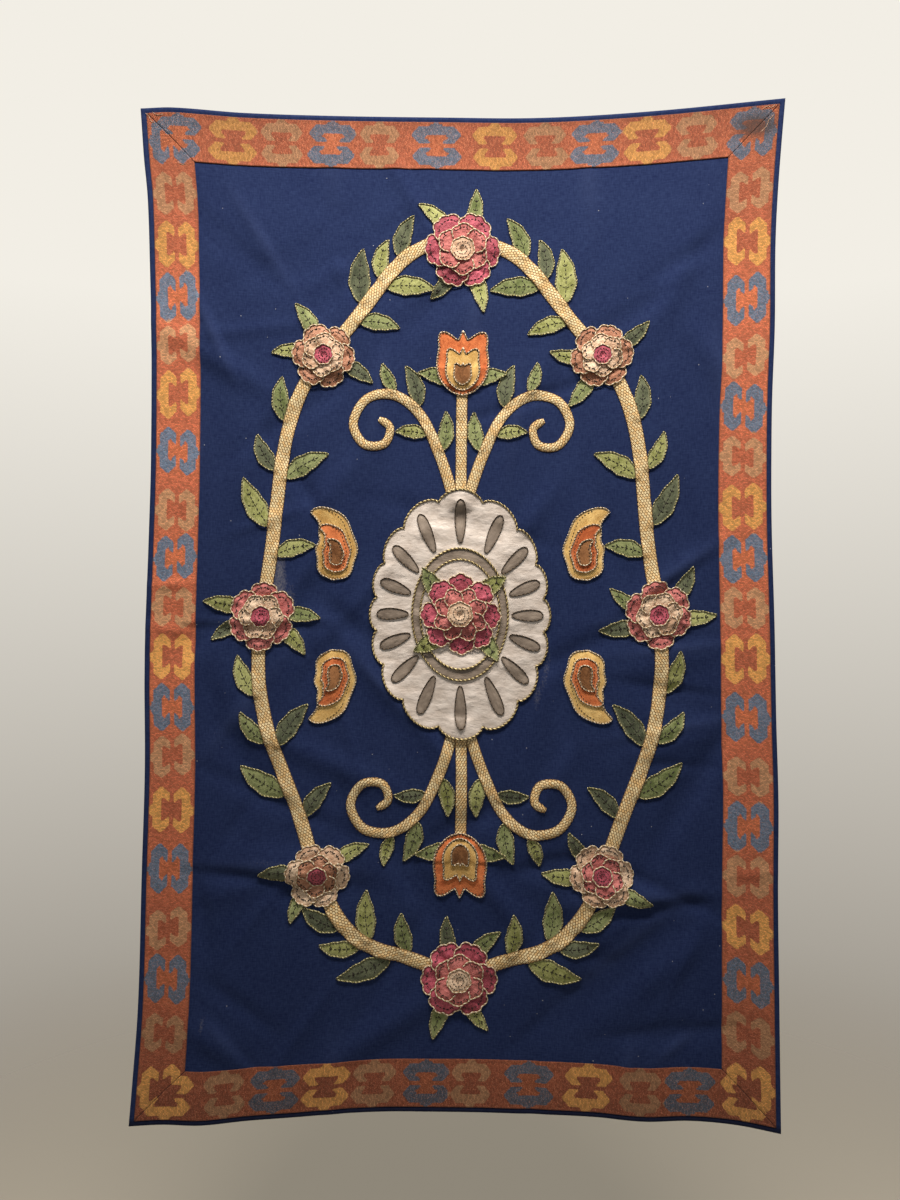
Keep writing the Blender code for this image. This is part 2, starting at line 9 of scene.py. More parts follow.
import logging
import math
from collections.abc import Callable, Sequence
from dataclasses import dataclass, field
from enum import Enum

import bpy
import numpy as np
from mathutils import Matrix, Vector


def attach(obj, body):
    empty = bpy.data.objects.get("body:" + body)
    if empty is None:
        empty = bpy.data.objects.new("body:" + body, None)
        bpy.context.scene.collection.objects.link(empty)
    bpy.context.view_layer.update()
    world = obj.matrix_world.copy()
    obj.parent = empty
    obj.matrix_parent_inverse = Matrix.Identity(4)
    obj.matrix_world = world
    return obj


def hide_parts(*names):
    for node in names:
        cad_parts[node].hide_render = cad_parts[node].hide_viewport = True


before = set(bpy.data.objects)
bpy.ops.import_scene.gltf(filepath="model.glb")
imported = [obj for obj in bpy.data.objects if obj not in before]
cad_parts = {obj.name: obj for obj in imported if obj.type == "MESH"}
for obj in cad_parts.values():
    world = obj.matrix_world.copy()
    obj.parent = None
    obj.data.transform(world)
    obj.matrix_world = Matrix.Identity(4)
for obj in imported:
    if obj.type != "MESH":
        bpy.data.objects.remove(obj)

LOG = logging.getLogger("hanging")
BODY = "root"
MM = 0.001
SEED = 23
Array = np.ndarray
Row = tuple[float, ...]
Rows = tuple[Row, ...]
Pair = tuple[float, float]
Tree = bpy.types.NodeTree
Node = bpy.types.Node
Socket = bpy.types.NodeSocket
# Heights that a surface shows by its shading: the height, its strength, its depth in metres.
Reliefs = list[tuple[Node, float, float]]
Change = Callable[[Array], Array]
TINY = 1e-9  # in place of a length of zero, where something is divided by it
CURVE_PARTS = 16  # points from one given point to the next, before they are spaced evenly


def linear(colour: str) -> tuple[float, float, float, float]:
    """Turns an sRGB hex colour into linear light.

    Args:
        colour: six hex digits after a hash.

    Returns:
        Red, green, blue and an alpha of one.
    """
    parts = [int(colour[k : k + 2], 16) / 255 for k in (1, 3, 5)]
    light = [c / 12.92 if c <= 0.04045 else ((c + 0.055) / 1.055) ** 2.4 for c in parts]
    return (*light, 1.0)


def add(tree: Tree, kind: str, inputs: dict | None = None, **settings: object) -> Node:
    """Adds a node, gives it its settings and fills its inputs.

    Args:
        tree: the nodes that it joins.
        kind: its type, without the common prefix.
        inputs: for each input a number, a hex colour, a socket, or a node for its first output.
        settings: the node's own properties.

    Returns:
        The new node.
    """
    node = tree.nodes.new("ShaderNode" + kind)
    for name, value in settings.items():
        setattr(node, name, value)
    for key, value in (inputs or {}).items():
        if isinstance(value, Node):
            value = next(socket for socket in value.outputs if socket.enabled)
        if isinstance(value, Socket):
            tree.links.new(value, node.inputs[key])
        else:
            node.inputs[key].default_value = linear(value) if isinstance(value, str) else value
    return node


def shade(
    tree: Tree, value: object, low: float, high: float, start: object, end: object,
    least: float = 0.0, most: float = 1.0,
) -> Node:
    """Goes from one colour to another as a value rises.

    Args:
        tree: the nodes.
        value: the value.
        low: where the first colour ends.
        high: where the second colour is reached.
        start: the first colour.
        end: the second colour.
        least: how much of the second colour there is at the low end.
        most: how much of it there is at the high end.

    Returns:
        The node with the colour.
    """
    share = add(tree, "MapRange", {"Value": value, "From Min": low, "From Max": high,
                                   "To Min": least, "To Max": most})
    return add(tree, "Mix", {0: share, 6: start, 7: end}, data_type="RGBA")


def streaks(tree: Tree, place: object, along: float, aside: float, turn: float = 0.0,
            detail: float = 2.0) -> Node:
    """Makes a noise of streaks.

    Args:
        tree: the nodes.
        place: where the streaks lie, in millimetres. Its third number has no effect.
        along: how many there are for each millimetre along the threads.
        aside: how many there are for each millimetre across them.
        turn: how far they are turned, in degrees.
        detail: how much finer noise they hold.

    Returns:
        The noise node.
    """
    laid = add(tree, "Mapping", {"Vector": place, "Rotation": (0.0, 0.0, math.radians(turn)),
                                 "Scale": (along, aside, 0.0)})
    return add(tree, "TexNoise", {"Vector": laid, "Scale": 1.0, "Detail": detail})


def eased(rows: Rows, share: Array) -> Array:
    """Reads a smooth curve through rows of (share, value).

    Args:
        rows: the curve's points, in order.
        share: where to read it.

    Returns:
        The value at each share.
    """
    at, value = np.array(rows, float).T
    rise = np.append(value[1:], value[-1]) - np.insert(value[:-1], 0, value[0])
    slope = rise / (np.append(at[1:], at[-1]) - np.insert(at[:-1], 0, at[0]))
    k = np.clip(np.searchsorted(at, share) - 1, 0, len(at) - 2)
    span = at[k + 1] - at[k]
    t = (share - at[k]) / span
    return (
        value[k] * (2 * t**3 - 3 * t**2 + 1)
        + slope[k] * span * (t**3 - 2 * t**2 + t)
        + value[k + 1] * (3 * t**2 - 2 * t**3)
        + slope[k + 1] * span * (t**3 - t**2)
    )


def length_along(path: Array) -> Array:
    """Gives how far each point of a path is along it."""
    return np.append(0.0, np.cumsum(np.linalg.norm(np.diff(path, axis=0), axis=1)))


def spaced(path: Array, step: float) -> Array:
    """Gives points an even step apart along a path.

    Args:
        path: n points.
        step: the wanted distance, kept as near as whole steps allow.

    Returns:
        The new points, both ends included.
    """
    run = length_along(path)
    at = np.linspace(0, run[-1], max(2, round(run[-1] / step) + 1))
    return np.stack([np.interp(at, run, path[:, k]) for k in range(path.shape[1])], 1)


def smooth_through(points: Sequence[Sequence[float]], step: float) -> Array:
    """Gives a smooth curve through some points.

    Args:
        points: the points that it goes through.
        step: the distance between the points returned.

    Returns:
        Points of the curve.
    """
    given = np.array(points, float)
    before = np.concatenate([given[:1], given[:-2]])
    after = np.concatenate([given[2:], given[-1:]])
    t = np.linspace(0, 1, CURVE_PARTS, endpoint=False)[:, None]
    curve = [
        0.5 * (2 * a + (b - p) * t + (2 * p - 5 * a + 4 * b - n) * t**2
               + (3 * a - p - 3 * b + n) * t**3)
        for p, a, b, n in zip(before, given, given[1:], after)
    ]
    return spaced(np.concatenate([*curve, given[-1:]]), step)


def denser(grid: Array, axis: int) -> Array:
    """Puts a point midway between every two along one axis of a grid."""
    grid = np.moveaxis(grid, axis, 0)
    finer = np.empty((2 * len(grid) - 1, *grid.shape[1:]))
    finer[::2], finer[1::2] = grid, (grid[1:] + grid[:-1]) / 2
    return np.moveaxis(finer, 0, axis)


def facing(path: Array) -> tuple[Array, Array]:
    """Gives the direction of a path at each of its points, and the direction to its side."""
    ahead = np.gradient(path, axis=0)
    ahead /= np.maximum(np.linalg.norm(ahead, axis=1), TINY)[:, None]
    return ahead, np.stack([-ahead[:, 1], ahead[:, 0]], 1)


def heading(direction: Array | float) -> Array:
    """Gives the (across, down) step for an angle in degrees, clockwise from straight up."""
    turn = np.radians(direction)
    return np.stack([np.sin(turn), -np.cos(turn)], -1)


def ridges(rows: Rows, across: Array, down: Array) -> Array:
    """Adds up soft ridges and troughs.

    Args:
        rows: a ridge in each: across and down of its middle, its angle from level in degrees,
            half its length, half its width and its height.
        across: across, at each point.
        down: down, at each point.

    Returns:
        The height of all ridges together at each point.
    """
    total = np.zeros_like(across)
    for mid_across, mid_down, angle, half_length, half_width, crest in rows:
        turn = math.radians(angle)
        right, up = across - mid_across, mid_down - down
        along = (right * math.cos(turn) + up * math.sin(turn)) / half_length
        aside = (up * math.cos(turn) - right * math.sin(turn)) / half_width
        total += crest * np.exp(-(along**2) - aside**2)
    return total


def between_cells(table: Array, row: Array, column: Array) -> Array:
    """Reads a table at places between its cells.

    Args:
        table: the table.
        row: the row of each place.
        column: the column of each place.

    Returns:
        The value at each place.
    """
    # Just short of the last cell, so that there is always a cell after it.
    row, column = (np.clip(at, 0, size - 1.001) for at, size in zip((row, column), table.shape))
    r, c = row.astype(int), column.astype(int)
    a, b = row - r, column - c
    upper = table[r, c] * (1 - b) + table[r, c + 1] * b
    lower = table[r + 1, c] * (1 - b) + table[r + 1, c + 1] * b
    return upper * (1 - a) + lower * a


def mirrored(side: int, part: int, middle: float) -> Change:
    """Gives the change that mirrors a shape to its side, and above or below a middle line."""
    return lambda flat: np.stack(
        [flat[..., 0] * side, middle + (flat[..., 1] - middle) * part], -1
    )


@dataclass
class HungForm:
    """How the flat cloth hangs: its four edges, its folds and its creases."""

    width: float = 1010.0
    height: float = 1600.0
    thickness: float = 2.0
    top_left: Pair = (-499.0, 14.0)
    top_right: Pair = (508.5, 30.0)
    bottom_left: Pair = (-516.5, -1574.5)
    bottom_right: Pair = (500.5, -1586.5)
    top_sag: Rows = (
        (0.00, 0.0), (0.05, -0.8), (0.16, 9.5), (0.30, 16.5), (0.46, 21.5), (0.62, 24.7),
        (0.79, 17.3), (1.00, 0.0),
    )
    bottom_rise: Rows = (
        (0.00, 0.0), (0.05, 3.3), (0.11, 2.5), (0.18, 11.0), (0.26, 18.2), (0.34, 25.4),
        (0.42, 28.6), (0.60, 26.9), (0.71, 23.6), (0.79, 16.8), (0.86, 19.1), (0.93, 13.7),
        (1.00, 0.0),
    )
    left_draw: Rows = (
        (0.00, 0.0), (0.05, 6.7), (0.09, 13.4), (0.16, 18.4), (0.23, 22.1), (0.35, 23.6),
        (0.43, 21.4), (0.54, 17.5), (0.65, 19.7), (0.75, 16.7), (0.88, 12.9), (0.97, 3.7),
        (1.00, 0.0),
    )
    right_draw: Rows = (
        (0.00, 0.0), (0.08, 10.3), (0.14, 14.9), (0.22, 15.7), (0.29, 19.5), (0.34, 20.4),
        (0.41, 19.8), (0.51, 14.6), (0.60, 11.3), (0.68, 7.2), (0.77, 7.0), (0.87, 4.1),
        (1.00, 0.0),
    )
    belly: float = 4.4
    foot_stand_off: float = 3.4
    settle: float = 1.1  # how softly the troughs meet the wall
    reach: float = 19.0  # no crest stands further off the wall than this
    top_fade: float = 70.0
    # Folds and creases have the columns of ridges(), measured on the cloth as it hangs.
    folds: Rows = (
        (-386, 342, -67, 70, 20, 5.4), (-311, 186, -65, 80, 24, 3.4),
        (350, 180, 90, 80, 22, 2.7), (39, 202, -60, 45, 18, 4.1),
        (-132, 450, 85, 90, 24, 4.1), (-47, 505, 90, 95, 22, -2.7),
        (86, 474, 88, 115, 26, 4.1), (-295, 754, 95, 120, 26, 4.7),
        (-124, 886, -50, 75, 20, 5.4), (132, 894, 80, 70, 20, 5.4),
        (327, 715, 32, 85, 20, 4.1), (330, 847, 10, 75, 18, 4.1),
        (332, 909, -15, 75, 18, -3.4), (326, 980, 20, 75, 18, 4.1),
        (-350, 909, 110, 90, 24, 4.1), (-334, 1002, 120, 115, 26, -4.1),
        (-264, 1161, -4, 100, 22, 6.1), (-264, 1203, -6, 85, 20, -6.1),
        (155, 1166, 12, 70, 18, -5.4), (280, 1217, 4, 100, 20, 5.4),
        (202, 1286, 38, 120, 30, 5.4), (232, 1340, 41, 135, 28, -6.1),
        (-404, 1251, 95, 70, 20, -4.1), (-381, 1446, -35, 50, 20, 6.8),
        (326, 1430, 5, 95, 20, -4.7), (-249, 1314, 88, 160, 80, 6.8),
        (30, 1400, 94, 150, 60, -3.4), (420, 1120, 90, 300, 40, 4.1),
    )
    creases: Rows = (
        (-326, 786, 1, 100, 7, 3.6), (-326, 799, 0, 100, 8, -3.1),
        (300, 792, -2, 90, 8, 1.7), (-382, 341, -66, 60, 7, 4.2),
        (-370, 346, -66, 55, 8, -2.6), (39, 206, -56, 46, 8, 3.5),
        (50, 214, -56, 44, 8, -2.3), (-311, 186, -58, 80, 10, 2.3),
        (-296, 196, -58, 70, 10, -1.7), (-132, 451, 80, 66, 8, 2.3),
        (86, 474, 83, 70, 9, 2.3), (100, 474, 84, 64, 9, -1.7),
        (-124, 886, -50, 66, 8, 3.5), (327, 715, 34, 90, 8, 2.9),
        (334, 730, 33, 84, 9, -2.3), (330, 831, 6, 76, 8, 2.9),
        (334, 894, -8, 72, 8, -2.9), (322, 956, 10, 80, 8, 2.9),
        (338, 1012, -4, 66, 8, -2.3), (-334, 917, 51, 96, 11, 2.6),
        (-326, 1072, 55, 96, 12, -2.6), (-284, 1170, -3, 110, 9, 2.9),
        (-290, 1190, -5, 106, 9, -4.2), (140, 1166, 12, 46, 8, -3.6),
        (272, 1220, 5, 90, 10, 3.5), (300, 1238, 8, 84, 11, -3.6),
        (150, 1392, 42, 80, 11, -3.5), (250, 1300, 40, 110, 12, 2.6),
        (-367, 1440, -45, 40, 8, 5.0), (-352, 1452, -42, 44, 9, -4.6),
        (326, 1428, 5, 80, 8, -3.6), (338, 1446, 40, 40, 8, 2.9),
        (-404, 1251, 95, 50, 10, -3.1), (-448, 730, 3, 34, 8, 3.1),
        (-450, 800, -4, 36, 8, 2.9), (452, 1180, 4, 34, 8, 2.5),
        (-200, 52, 92, 60, 18, 3.1), (60, 60, 86, 70, 20, -3.1),
        (200, 90, 95, 70, 16, 2.6), (20, 330, 82, 90, 14, 2.3),
        (180, 300, 70, 80, 14, -2.3), (-420, 560, 84, 70, 12, 2.3),
        (408, 420, 96, 90, 14, 2.5), (-200, 1500, 88, 50, 14, 3.1),
        (110, 1510, 94, 50, 16, -3.1), (260, 1490, 84, 50, 12, 2.6),
    )
    # Small creases: how many, where their middles may lie, the two slants that most of them have,
    # how much these scatter, half their lengths and widths, and their heights as shares of those.
    small_creases: int = 64
    across: Pair = (-400.0, 400.0)
    down: Pair = (120.0, 1480.0)
    slants: Pair = (40.0, 130.0)
    scatter: float = 22.0
    half_lengths: Pair = (50.0, 150.0)
    half_widths: Pair = (9.0, 22.0)
    steepness: Pair = (0.22, 0.36)
    seed: int = 5
    crumples: Rows = field(init=False)

    def __post_init__(self) -> None:
        """Scatters small creases over the field, most of them slanting to one side or the other."""
        chance = np.random.default_rng(self.seed)
        rows = []
        for _ in range(self.small_creases):
            half_width = chance.uniform(*self.half_widths)
            crest = chance.choice([-1, 1]) * chance.uniform(*self.steepness) * half_width
            middle = chance.uniform(*self.across), chance.uniform(*self.down)
            slant = chance.choice(self.slants) + chance.normal(0, self.scatter)
            half_length = chance.uniform(*self.half_lengths)
            rows.append((*middle, slant, half_length, half_width, crest))
        self.crumples = tuple(rows)

    def place(self, flat: Array) -> Array:
        """Finds where points of the flat cloth hang.

        Args:
            flat: points as (across, down).

        Returns:
            The points as (across, up), in millimetres.
        """
        u = np.clip(0.5 + flat[..., 0] / self.width, 0, 1)[..., None]
        v = np.clip(flat[..., 1] / self.height, 0, 1)[..., None]
        top = np.array(self.top_left) * (1 - u) + np.array(self.top_right) * u
        bottom = np.array(self.bottom_left) * (1 - u) + np.array(self.bottom_right) * u
        sideways = (1 - u) * eased(self.left_draw, v) - u * eased(self.right_draw, v)
        upwards = v * eased(self.bottom_rise, u) - (1 - v) * eased(self.top_sag, u)
        return top * (1 - v) + bottom * v + np.concatenate([sideways, upwards], -1)

    def relief(self, hung: Array) -> Array:
        """Gives how far the back of the cloth stands off the wall, at points as it hangs."""
        across, down = hung[..., 0], -hung[..., 1]
        share = np.clip(down / self.height, 0, 1)
        height = self.belly * np.sin(math.pi * share) + self.foot_stand_off * share**2
        height += ridges(self.folds + self.creases + self.crumples, across, down)
        height = self.settle * np.logaddexp(0.0, height / self.settle)
        height = self.reach * np.tanh(height / self.reach)
        held = np.clip(down / self.top_fade, 0, 1)
        return height * held**2 * (3 - 2 * held)

    def point(self, flat: Array, lift: Array | float) -> Array:
        """Carries points onto the hanging cloth.

        Args:
            flat: points as (across, down).
            lift: how far each stands above the front of the cloth.

        Returns:
            The points in metres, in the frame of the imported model.
        """
        hung = self.place(flat)
        out = -(self.relief(hung) + self.thickness + lift)
        return np.stack([hung[..., 0], out, hung[..., 1]], -1) * MM


@dataclass
class Stack:
    """How high the layers sewn on so far stand above the cloth, on a raster over the flat cloth."""

    form: HungForm
    cell: float = 1.0
    margin: int = 8
    top: Array = field(init=False)

    def __post_init__(self) -> None:
        """Starts with the bare cloth."""
        rows = int(self.form.height / self.cell) + 2 * self.margin
        columns = int(self.form.width / self.cell) + 2 * self.margin
        self.top = np.zeros((rows, columns))

    def cells(self, flat: Array) -> tuple[Array, Array]:
        """Gives the raster's row and column of each point."""
        column = (flat[..., 0] + self.form.width / 2) / self.cell + self.margin
        return flat[..., 1] / self.cell + self.margin, column

    def bare(self, flat: Array) -> Array:
        """Gives the height of what lies at each point."""
        return between_cells(self.top, *self.cells(flat))

    def under(self, flat: Array, spread: int = 2) -> Array:
        """Gives the height at which a cloth laid over these points would rest.

        Args:
            flat: points as (across, down).
            spread: how far the cloth bridges a step, in cells.

        Returns:
            The height, smooth and nowhere far below what lies there.
        """
        row, column = self.cells(flat)
        pad = 2 * spread + 2
        r0, c0 = max(int(row.min()) - pad, 0), max(int(column.min()) - pad, 0)
        window = self.top[r0 : int(row.max()) + pad + 2, c0 : int(column.max()) + pad + 2]
        for mix in (np.max, np.mean):
            for axis in (0, 1):
                shifts = [np.roll(window, k, axis) for k in range(-spread, spread + 1)]
                window = mix(shifts, axis=0)
        return between_cells(window, row - r0, column - c0)

    def lay(self, flat: Array, lift: Array) -> None:
        """Notes the height of a new layer.

        Args:
            flat: a grid of points as (across, down).
            lift: the height of its top at each.
        """
        grid = np.concatenate([flat, lift[..., None]], -1)
        for axis in (0, 1, 0, 1):
            grid = denser(grid, axis)
        row, column = self.cells(grid[..., :2])
        for down in (0, 1):
            for right in (0, 1):
                r = np.clip(row.astype(int) + down, 0, self.top.shape[0] - 1)
                c = np.clip(column.astype(int) + right, 0, self.top.shape[1] - 1)
                np.maximum.at(self.top, (r, c), grid[..., 2])


@dataclass(frozen=True)
class Finish:
    """A surface: what the cloth or thread is and how it was made."""

    name: str
    body: str
    dark: str
    roughness: float = 0.88
    specular: float = 0.2
    sheen: float = 0.15
    metallic: float = 0.0

    def surface(self, tree: Tree, place: Socket) -> tuple[Node, Reliefs]:
        """Builds the colour and the reliefs. Each kind of finish has its own."""
        raise NotImplementedError

    def edged(
        self, tree: Tree, place: Socket, colour: Node, near: float, far: float,
        least: float = 0.0, rim: str | None = None,
    ) -> Node:
        """Turns the colour darker, or to its rim's, from far to near millimetres off the edge."""
        inset = add(tree, "SeparateXYZ", {0: place}).outputs[2]
        return shade(tree, inset, near, far, rim or self.dark, colour, least)

    def material(self) -> bpy.types.Material:
        """Gives the finish's material, made once.

        Returns:
            The material.
        """
        made = bpy.data.materials.get(self.name)
        if made is None:
            made = bpy.data.materials.new(self.name)
            made.use_nodes = True
            tree = made.node_tree
            shader = tree.nodes["Principled BSDF"]
            place = add(tree, "Attribute", attribute_name="weave").outputs["Vector"]
            colour, reliefs = self.surface(tree, place)
            tree.links.new(colour.outputs[2], shader.inputs["Base Color"])
            for height, strength, depth in reliefs:
                bump = add(tree, "Bump", {"Height": height, "Strength": strength,
                                          "Distance": depth})
                if shader.inputs["Normal"].is_linked:
                    before = shader.inputs["Normal"].links[0].from_socket
                    tree.links.new(before, bump.inputs["Normal"])
                tree.links.new(bump.outputs[0], shader.inputs["Normal"])
            shader.inputs["Roughness"].default_value = self.roughness
            shader.inputs["Specular IOR Level"].default_value = self.specular
            shader.inputs["Sheen Weight"].default_value = self.sheen
            shader.inputs["Metallic"].default_value = self.metallic
        return made


@dataclass(frozen=True)
class PlainWeave(Finish):
    """Dyed cotton in plain weave: matt, uneven threads, dusty, crests partly worn and partly a painted
    highlight, painted shade at its foot.
    """

    roughness: float = 0.9
    specular: float = 0.08
    sheen: float = 0.0
    # Paler navy of the crease crests: partly worn cotton, partly a painted highlight.
    worn_highlight: str = "#4A5882"
    dust: str = "#8C8C92"
    lint: str = "#B9BCC6"
    # Painted shade along the cloth's foot.
    foot_shade: str = "#15100C"
    slub: float = 0.45  # slubs for each millimetre, drawn coarser than the threads to show
    slub_run: float = 0.1  # how many there are for each millimetre along a thread
    cloud: float = 0.016  # clouds of uneven dye for each millimetre
    fluff: float = 0.03  # cells for each millimetre that have one speck of lint each

    def surface(self, tree: Tree, place: Socket) -> tuple[Node, Reliefs]:
        """Builds slubs along both threads, cloudy dyeing, paler crease crests that are partly a
        painted highlight, dust, painted shade along the foot and specks of lint.

        Args:
            tree: the material's nodes.
            place: the place on the cloth, in millimetres.

        Returns:
            The colour and the reliefs.
        """
        warp = streaks(tree, place, self.slub, self.slub_run)
        weft = streaks(tree, place, self.slub_run, self.slub)
        threads = add(tree, "Math", {0: warp, 1: weft}, operation="ADD")
        cloudy = add(tree, "TexNoise", {"Vector": place, "Scale": self.cloud, "Detail": 5.0})
        both = add(tree, "Math", {0: cloudy, 1: 0.35, 2: threads}, operation="MULTIPLY_ADD")
        colour = shade(tree, both, 0.66, 1.7, self.dark, self.body)
        wear, dust, soil = (
            add(tree, "Attribute", attribute_name=name) for name in ("wear", "dust", "soil")
        )
        # The crease crests paler: partly worn, partly a painted highlight.
        colour = shade(tree, wear, 0.0, 1.0, colour, self.worn_highlight)
        grain = add(tree, "TexNoise", {"Vector": place, "Scale": 0.3, "Detail": 5.0})
        dusty = add(tree, "Math", {0: dust, 1: grain}, operation="MULTIPLY")
        colour = shade(tree, dusty, 0.12, 0.34, colour, self.dust, 0.0, 0.6)
        # Painted shade along the foot of the cloth.
        colour = shade(tree, soil, 0.0, 1.0, colour, self.foot_shade, 0.0, 0.6)
        specks = add(tree, "TexVoronoi", {"Vector": place, "Scale": self.fluff})
        colour = shade(tree, specks, 0.034, 0.018, colour, self.lint, 0.0, 0.8)
        return colour, [(threads, 0.3, 0.0004)]


@dataclass(frozen=True)
class TapestryBand(Finish):
    """Wool tapestry strip, weft-faced: short floats of weft, with ragged edges where colours meet."""

    float_length: float = 4.0  # drawn a little coarser than the 3 mm floats so that they show
    float_height: float = 2.2
    slant: float = 98.0
    # What the dyes are multiplied by: on light floats, on dark ones and in the grooves.
    light: Row = (1.31, 1.29, 1.27, 1.0)
    deep: Row = (0.75, 0.74, 0.73, 1.0)
    groove: Row = (0.5, 0.47, 0.45, 1.0)
    stain: str = "#453B3A"

    def surface(self, tree: Tree, place: Socket) -> tuple[Node, Reliefs]:
        """Builds the weft floats, the charted colours with ragged edges, flecks, the painted shadow
        along the edges and the stain.

        Args:
            tree: the material's nodes.
            place: the place along and across the strip, in millimetres.

        Returns:
            The colour and the reliefs.
        """
        wander = add(tree, "TexNoise", {"Vector": place, "Scale": 0.16, "Detail": 2.0})
        bent = add(tree, "VectorMath", {0: wander.outputs["Color"], 1: (2.4, 2.4, 0.0), 2: place},
                   operation="MULTIPLY_ADD")
        turned = add(tree, "Mapping",
                     {"Vector": bent, "Rotation": (0.0, 0.0, math.radians(self.slant))})
        floats = add(tree, "TexBrick",
                     {"Vector": turned, "Color1": self.light, "Color2": self.deep,
                      "Mortar": self.groove, "Scale": 1.0, "Mortar Size": 0.3,
                      "Mortar Smooth": 0.9, "Bias": 0.0,
                      "Brick Width": self.float_length, "Row Height": self.float_height})
        ragged = add(tree, "TexNoise", {"Vector": bent, "Scale": 0.4, "Detail": 3.0, "Roughness": 0.7})
        mask, ground, motif, soil = (
            add(tree, "Attribute", attribute_name=name)
            for name in ("motif", "ground_dye", "motif_dye", "stain")
        )
        shaken = add(tree, "Math", {0: ragged, 1: mask}, operation="ADD")
        colour = shade(tree, shaken, 0.9, 1.06, ground, motif)
        flecks = add(tree, "TexNoise", {"Vector": turned, "Scale": 0.7, "Detail": 2.0})
        colour = shade(tree, flecks, 0.53, 0.68, colour, self.dark, 0.0, 0.45)
        colour = shade(tree, flecks, 0.47, 0.36, colour, self.body, 0.0, 0.4)
        colour = add(tree, "Mix", {0: 1.0, 6: colour, 7: floats}, data_type="RGBA",
                     blend_type="MULTIPLY")
        # Painted shadow along both edges of the strip.
        colour = self.edged(tree, place, colour, 0.3, 2.4, 0.4)
        soaked = add(tree, "Math", {0: soil, 1: ragged}, operation="MULTIPLY")
        colour = shade(tree, soaked, 0.08, 0.42, colour, self.stain, 0.0, 0.85)
        low = add(tree, "Math", {0: 1.0, 1: floats.outputs[1]}, operation="SUBTRACT")
        return colour, [(low, 0.7, 0.0008), (flecks, 0.5, 0.0007)]


@dataclass(frozen=True)
class StrawMesh(Finish):
    """Raffia cloth cut in strips: stiff pale ribs with small brown holes between them."""

    roughness: float = 0.65
    specular: float = 0.3
    rib: str = "#F6CD8E"
    pitch: float = 5.0  # the real holes are about 3.1 mm apart, drawn coarser so that they show
    row: float = 3.9
    hole: float = 0.6
    slant: float = 32.0
    edge: float = 1.3

    def surface(self, tree: Tree, place: Socket) -> tuple[Node, Reliefs]:
        """Builds the ribs, the holes between them and the darker edge, partly turned under and partly
        painted shade.

        Args:
            tree: the material's nodes.
            place: the place along and across the strip, in millimetres.

        Returns:
            The colour and the reliefs.
        """
        turned = add(tree, "Mapping",
                     {"Vector": place, "Rotation": (0.0, 0.0, math.radians(self.slant))})
        ribs = add(tree, "TexBrick",
                   {"Vector": turned, "Color1": self.body, "Color2": self.rib, "Mortar": self.dark,
                    "Scale": 1.0, "Mortar Size": self.hole, "Mortar Smooth": 0.6, "Bias": 0.0,
                    "Brick Width": self.pitch, "Row Height": self.row})
        fibre = streaks(tree, place, 0.1, 0.7, detail=3.0)
        colour = shade(tree, fibre, 0.5, 0.72, ribs, self.dark, 0.0, 0.15)
        # The darker edge: partly the turned-under edge, partly painted shade where the strip curves
        # down.
        colour = self.edged(tree, place, colour, 0.2, self.edge)
        low = add(tree, "Math", {0: 1.0, 1: ribs.outputs[1]}, operation="SUBTRACT")
        return colour, [(low, 0.9, 0.0011)]


@dataclass(frozen=True)
class Felt(Finish):
    """Milled wool felt: no threads, a mottled nap, paler where the edge is worn."""

    roughness: float = 0.93
    specular: float = 0.12
    sheen: float = 0.25
    rim: str = "#CCC99A"

    def surface(self, tree: Tree, place: Socket) -> tuple[Node, Reliefs]:
        """Builds the mottled nap, the paler rim and a soft fuzz.

        Args:
            tree: the material's nodes.
            place: the place on the piece, in millimetres.

        Returns:
            The colour and the reliefs.
        """
        coarse = add(tree, "TexNoise", {"Vector": place, "Scale": 0.075, "Detail": 3.0})
        fine = add(tree, "TexNoise", {"Vector": place, "Scale": 0.34, "Detail": 4.0, "Roughness": 0.7})
        both = add(tree, "Math", {0: coarse, 1: fine}, operation="ADD")
        own = add(tree, "Attribute", attribute_name="tone")
        total = add(tree, "Math", {0: own, 1: 0.3, 2: both}, operation="MULTIPLY_ADD")
        colour = shade(tree, total, 0.9, 1.38, self.dark, self.body)
        colour = self.edged(tree, place, colour, 1.2, 4.2, 0.45, self.rim)
        return colour, [(coarse, 0.5, 0.002), (fine, 0.6, 0.0009)]


@dataclass(frozen=True)
class Sateen(Finish):
    """Cotton sateen over thin padding: close and smooth, faintly lustrous, puckered by its sewing."""

    roughness: float = 0.6
    specular: float = 0.3

    def surface(self, tree: Tree, place: Socket) -> tuple[Node, Reliefs]:
        """Builds painted shade at the sewn edge, fine threads and puckers.

        Args:
            tree: the material's nodes.
            place: the place on the piece, in millimetres.

        Returns:
            The colour and the reliefs.
        """
        soft = add(tree, "TexNoise", {"Vector": place, "Scale": 0.09, "Detail": 3.0})
        threads = streaks(tree, place, 0.12, 0.5, 20.0, 3.0)
        own = add(tree, "Attribute", attribute_name="tone")
        mixed = add(tree, "Math", {0: own, 1: 0.35, 2: soft}, operation="MULTIPLY_ADD")
        total = add(tree, "Math", {0: threads, 1: 0.6, 2: mixed}, operation="MULTIPLY_ADD")
        colour = shade(tree, total, 0.74, 1.18, self.dark, self.body)
        # Painted shade towards the sewn edge, where the padded petal curves down.
        colour = self.edged(tree, place, colour, 0.8, 5.5, 0.35)
        pucker = add(tree, "TexNoise", {"Vector": place, "Scale": 0.17, "Detail": 2.0})
        return colour, [(pucker, 0.8, 0.0028), (threads, 0.3, 0.0005)]


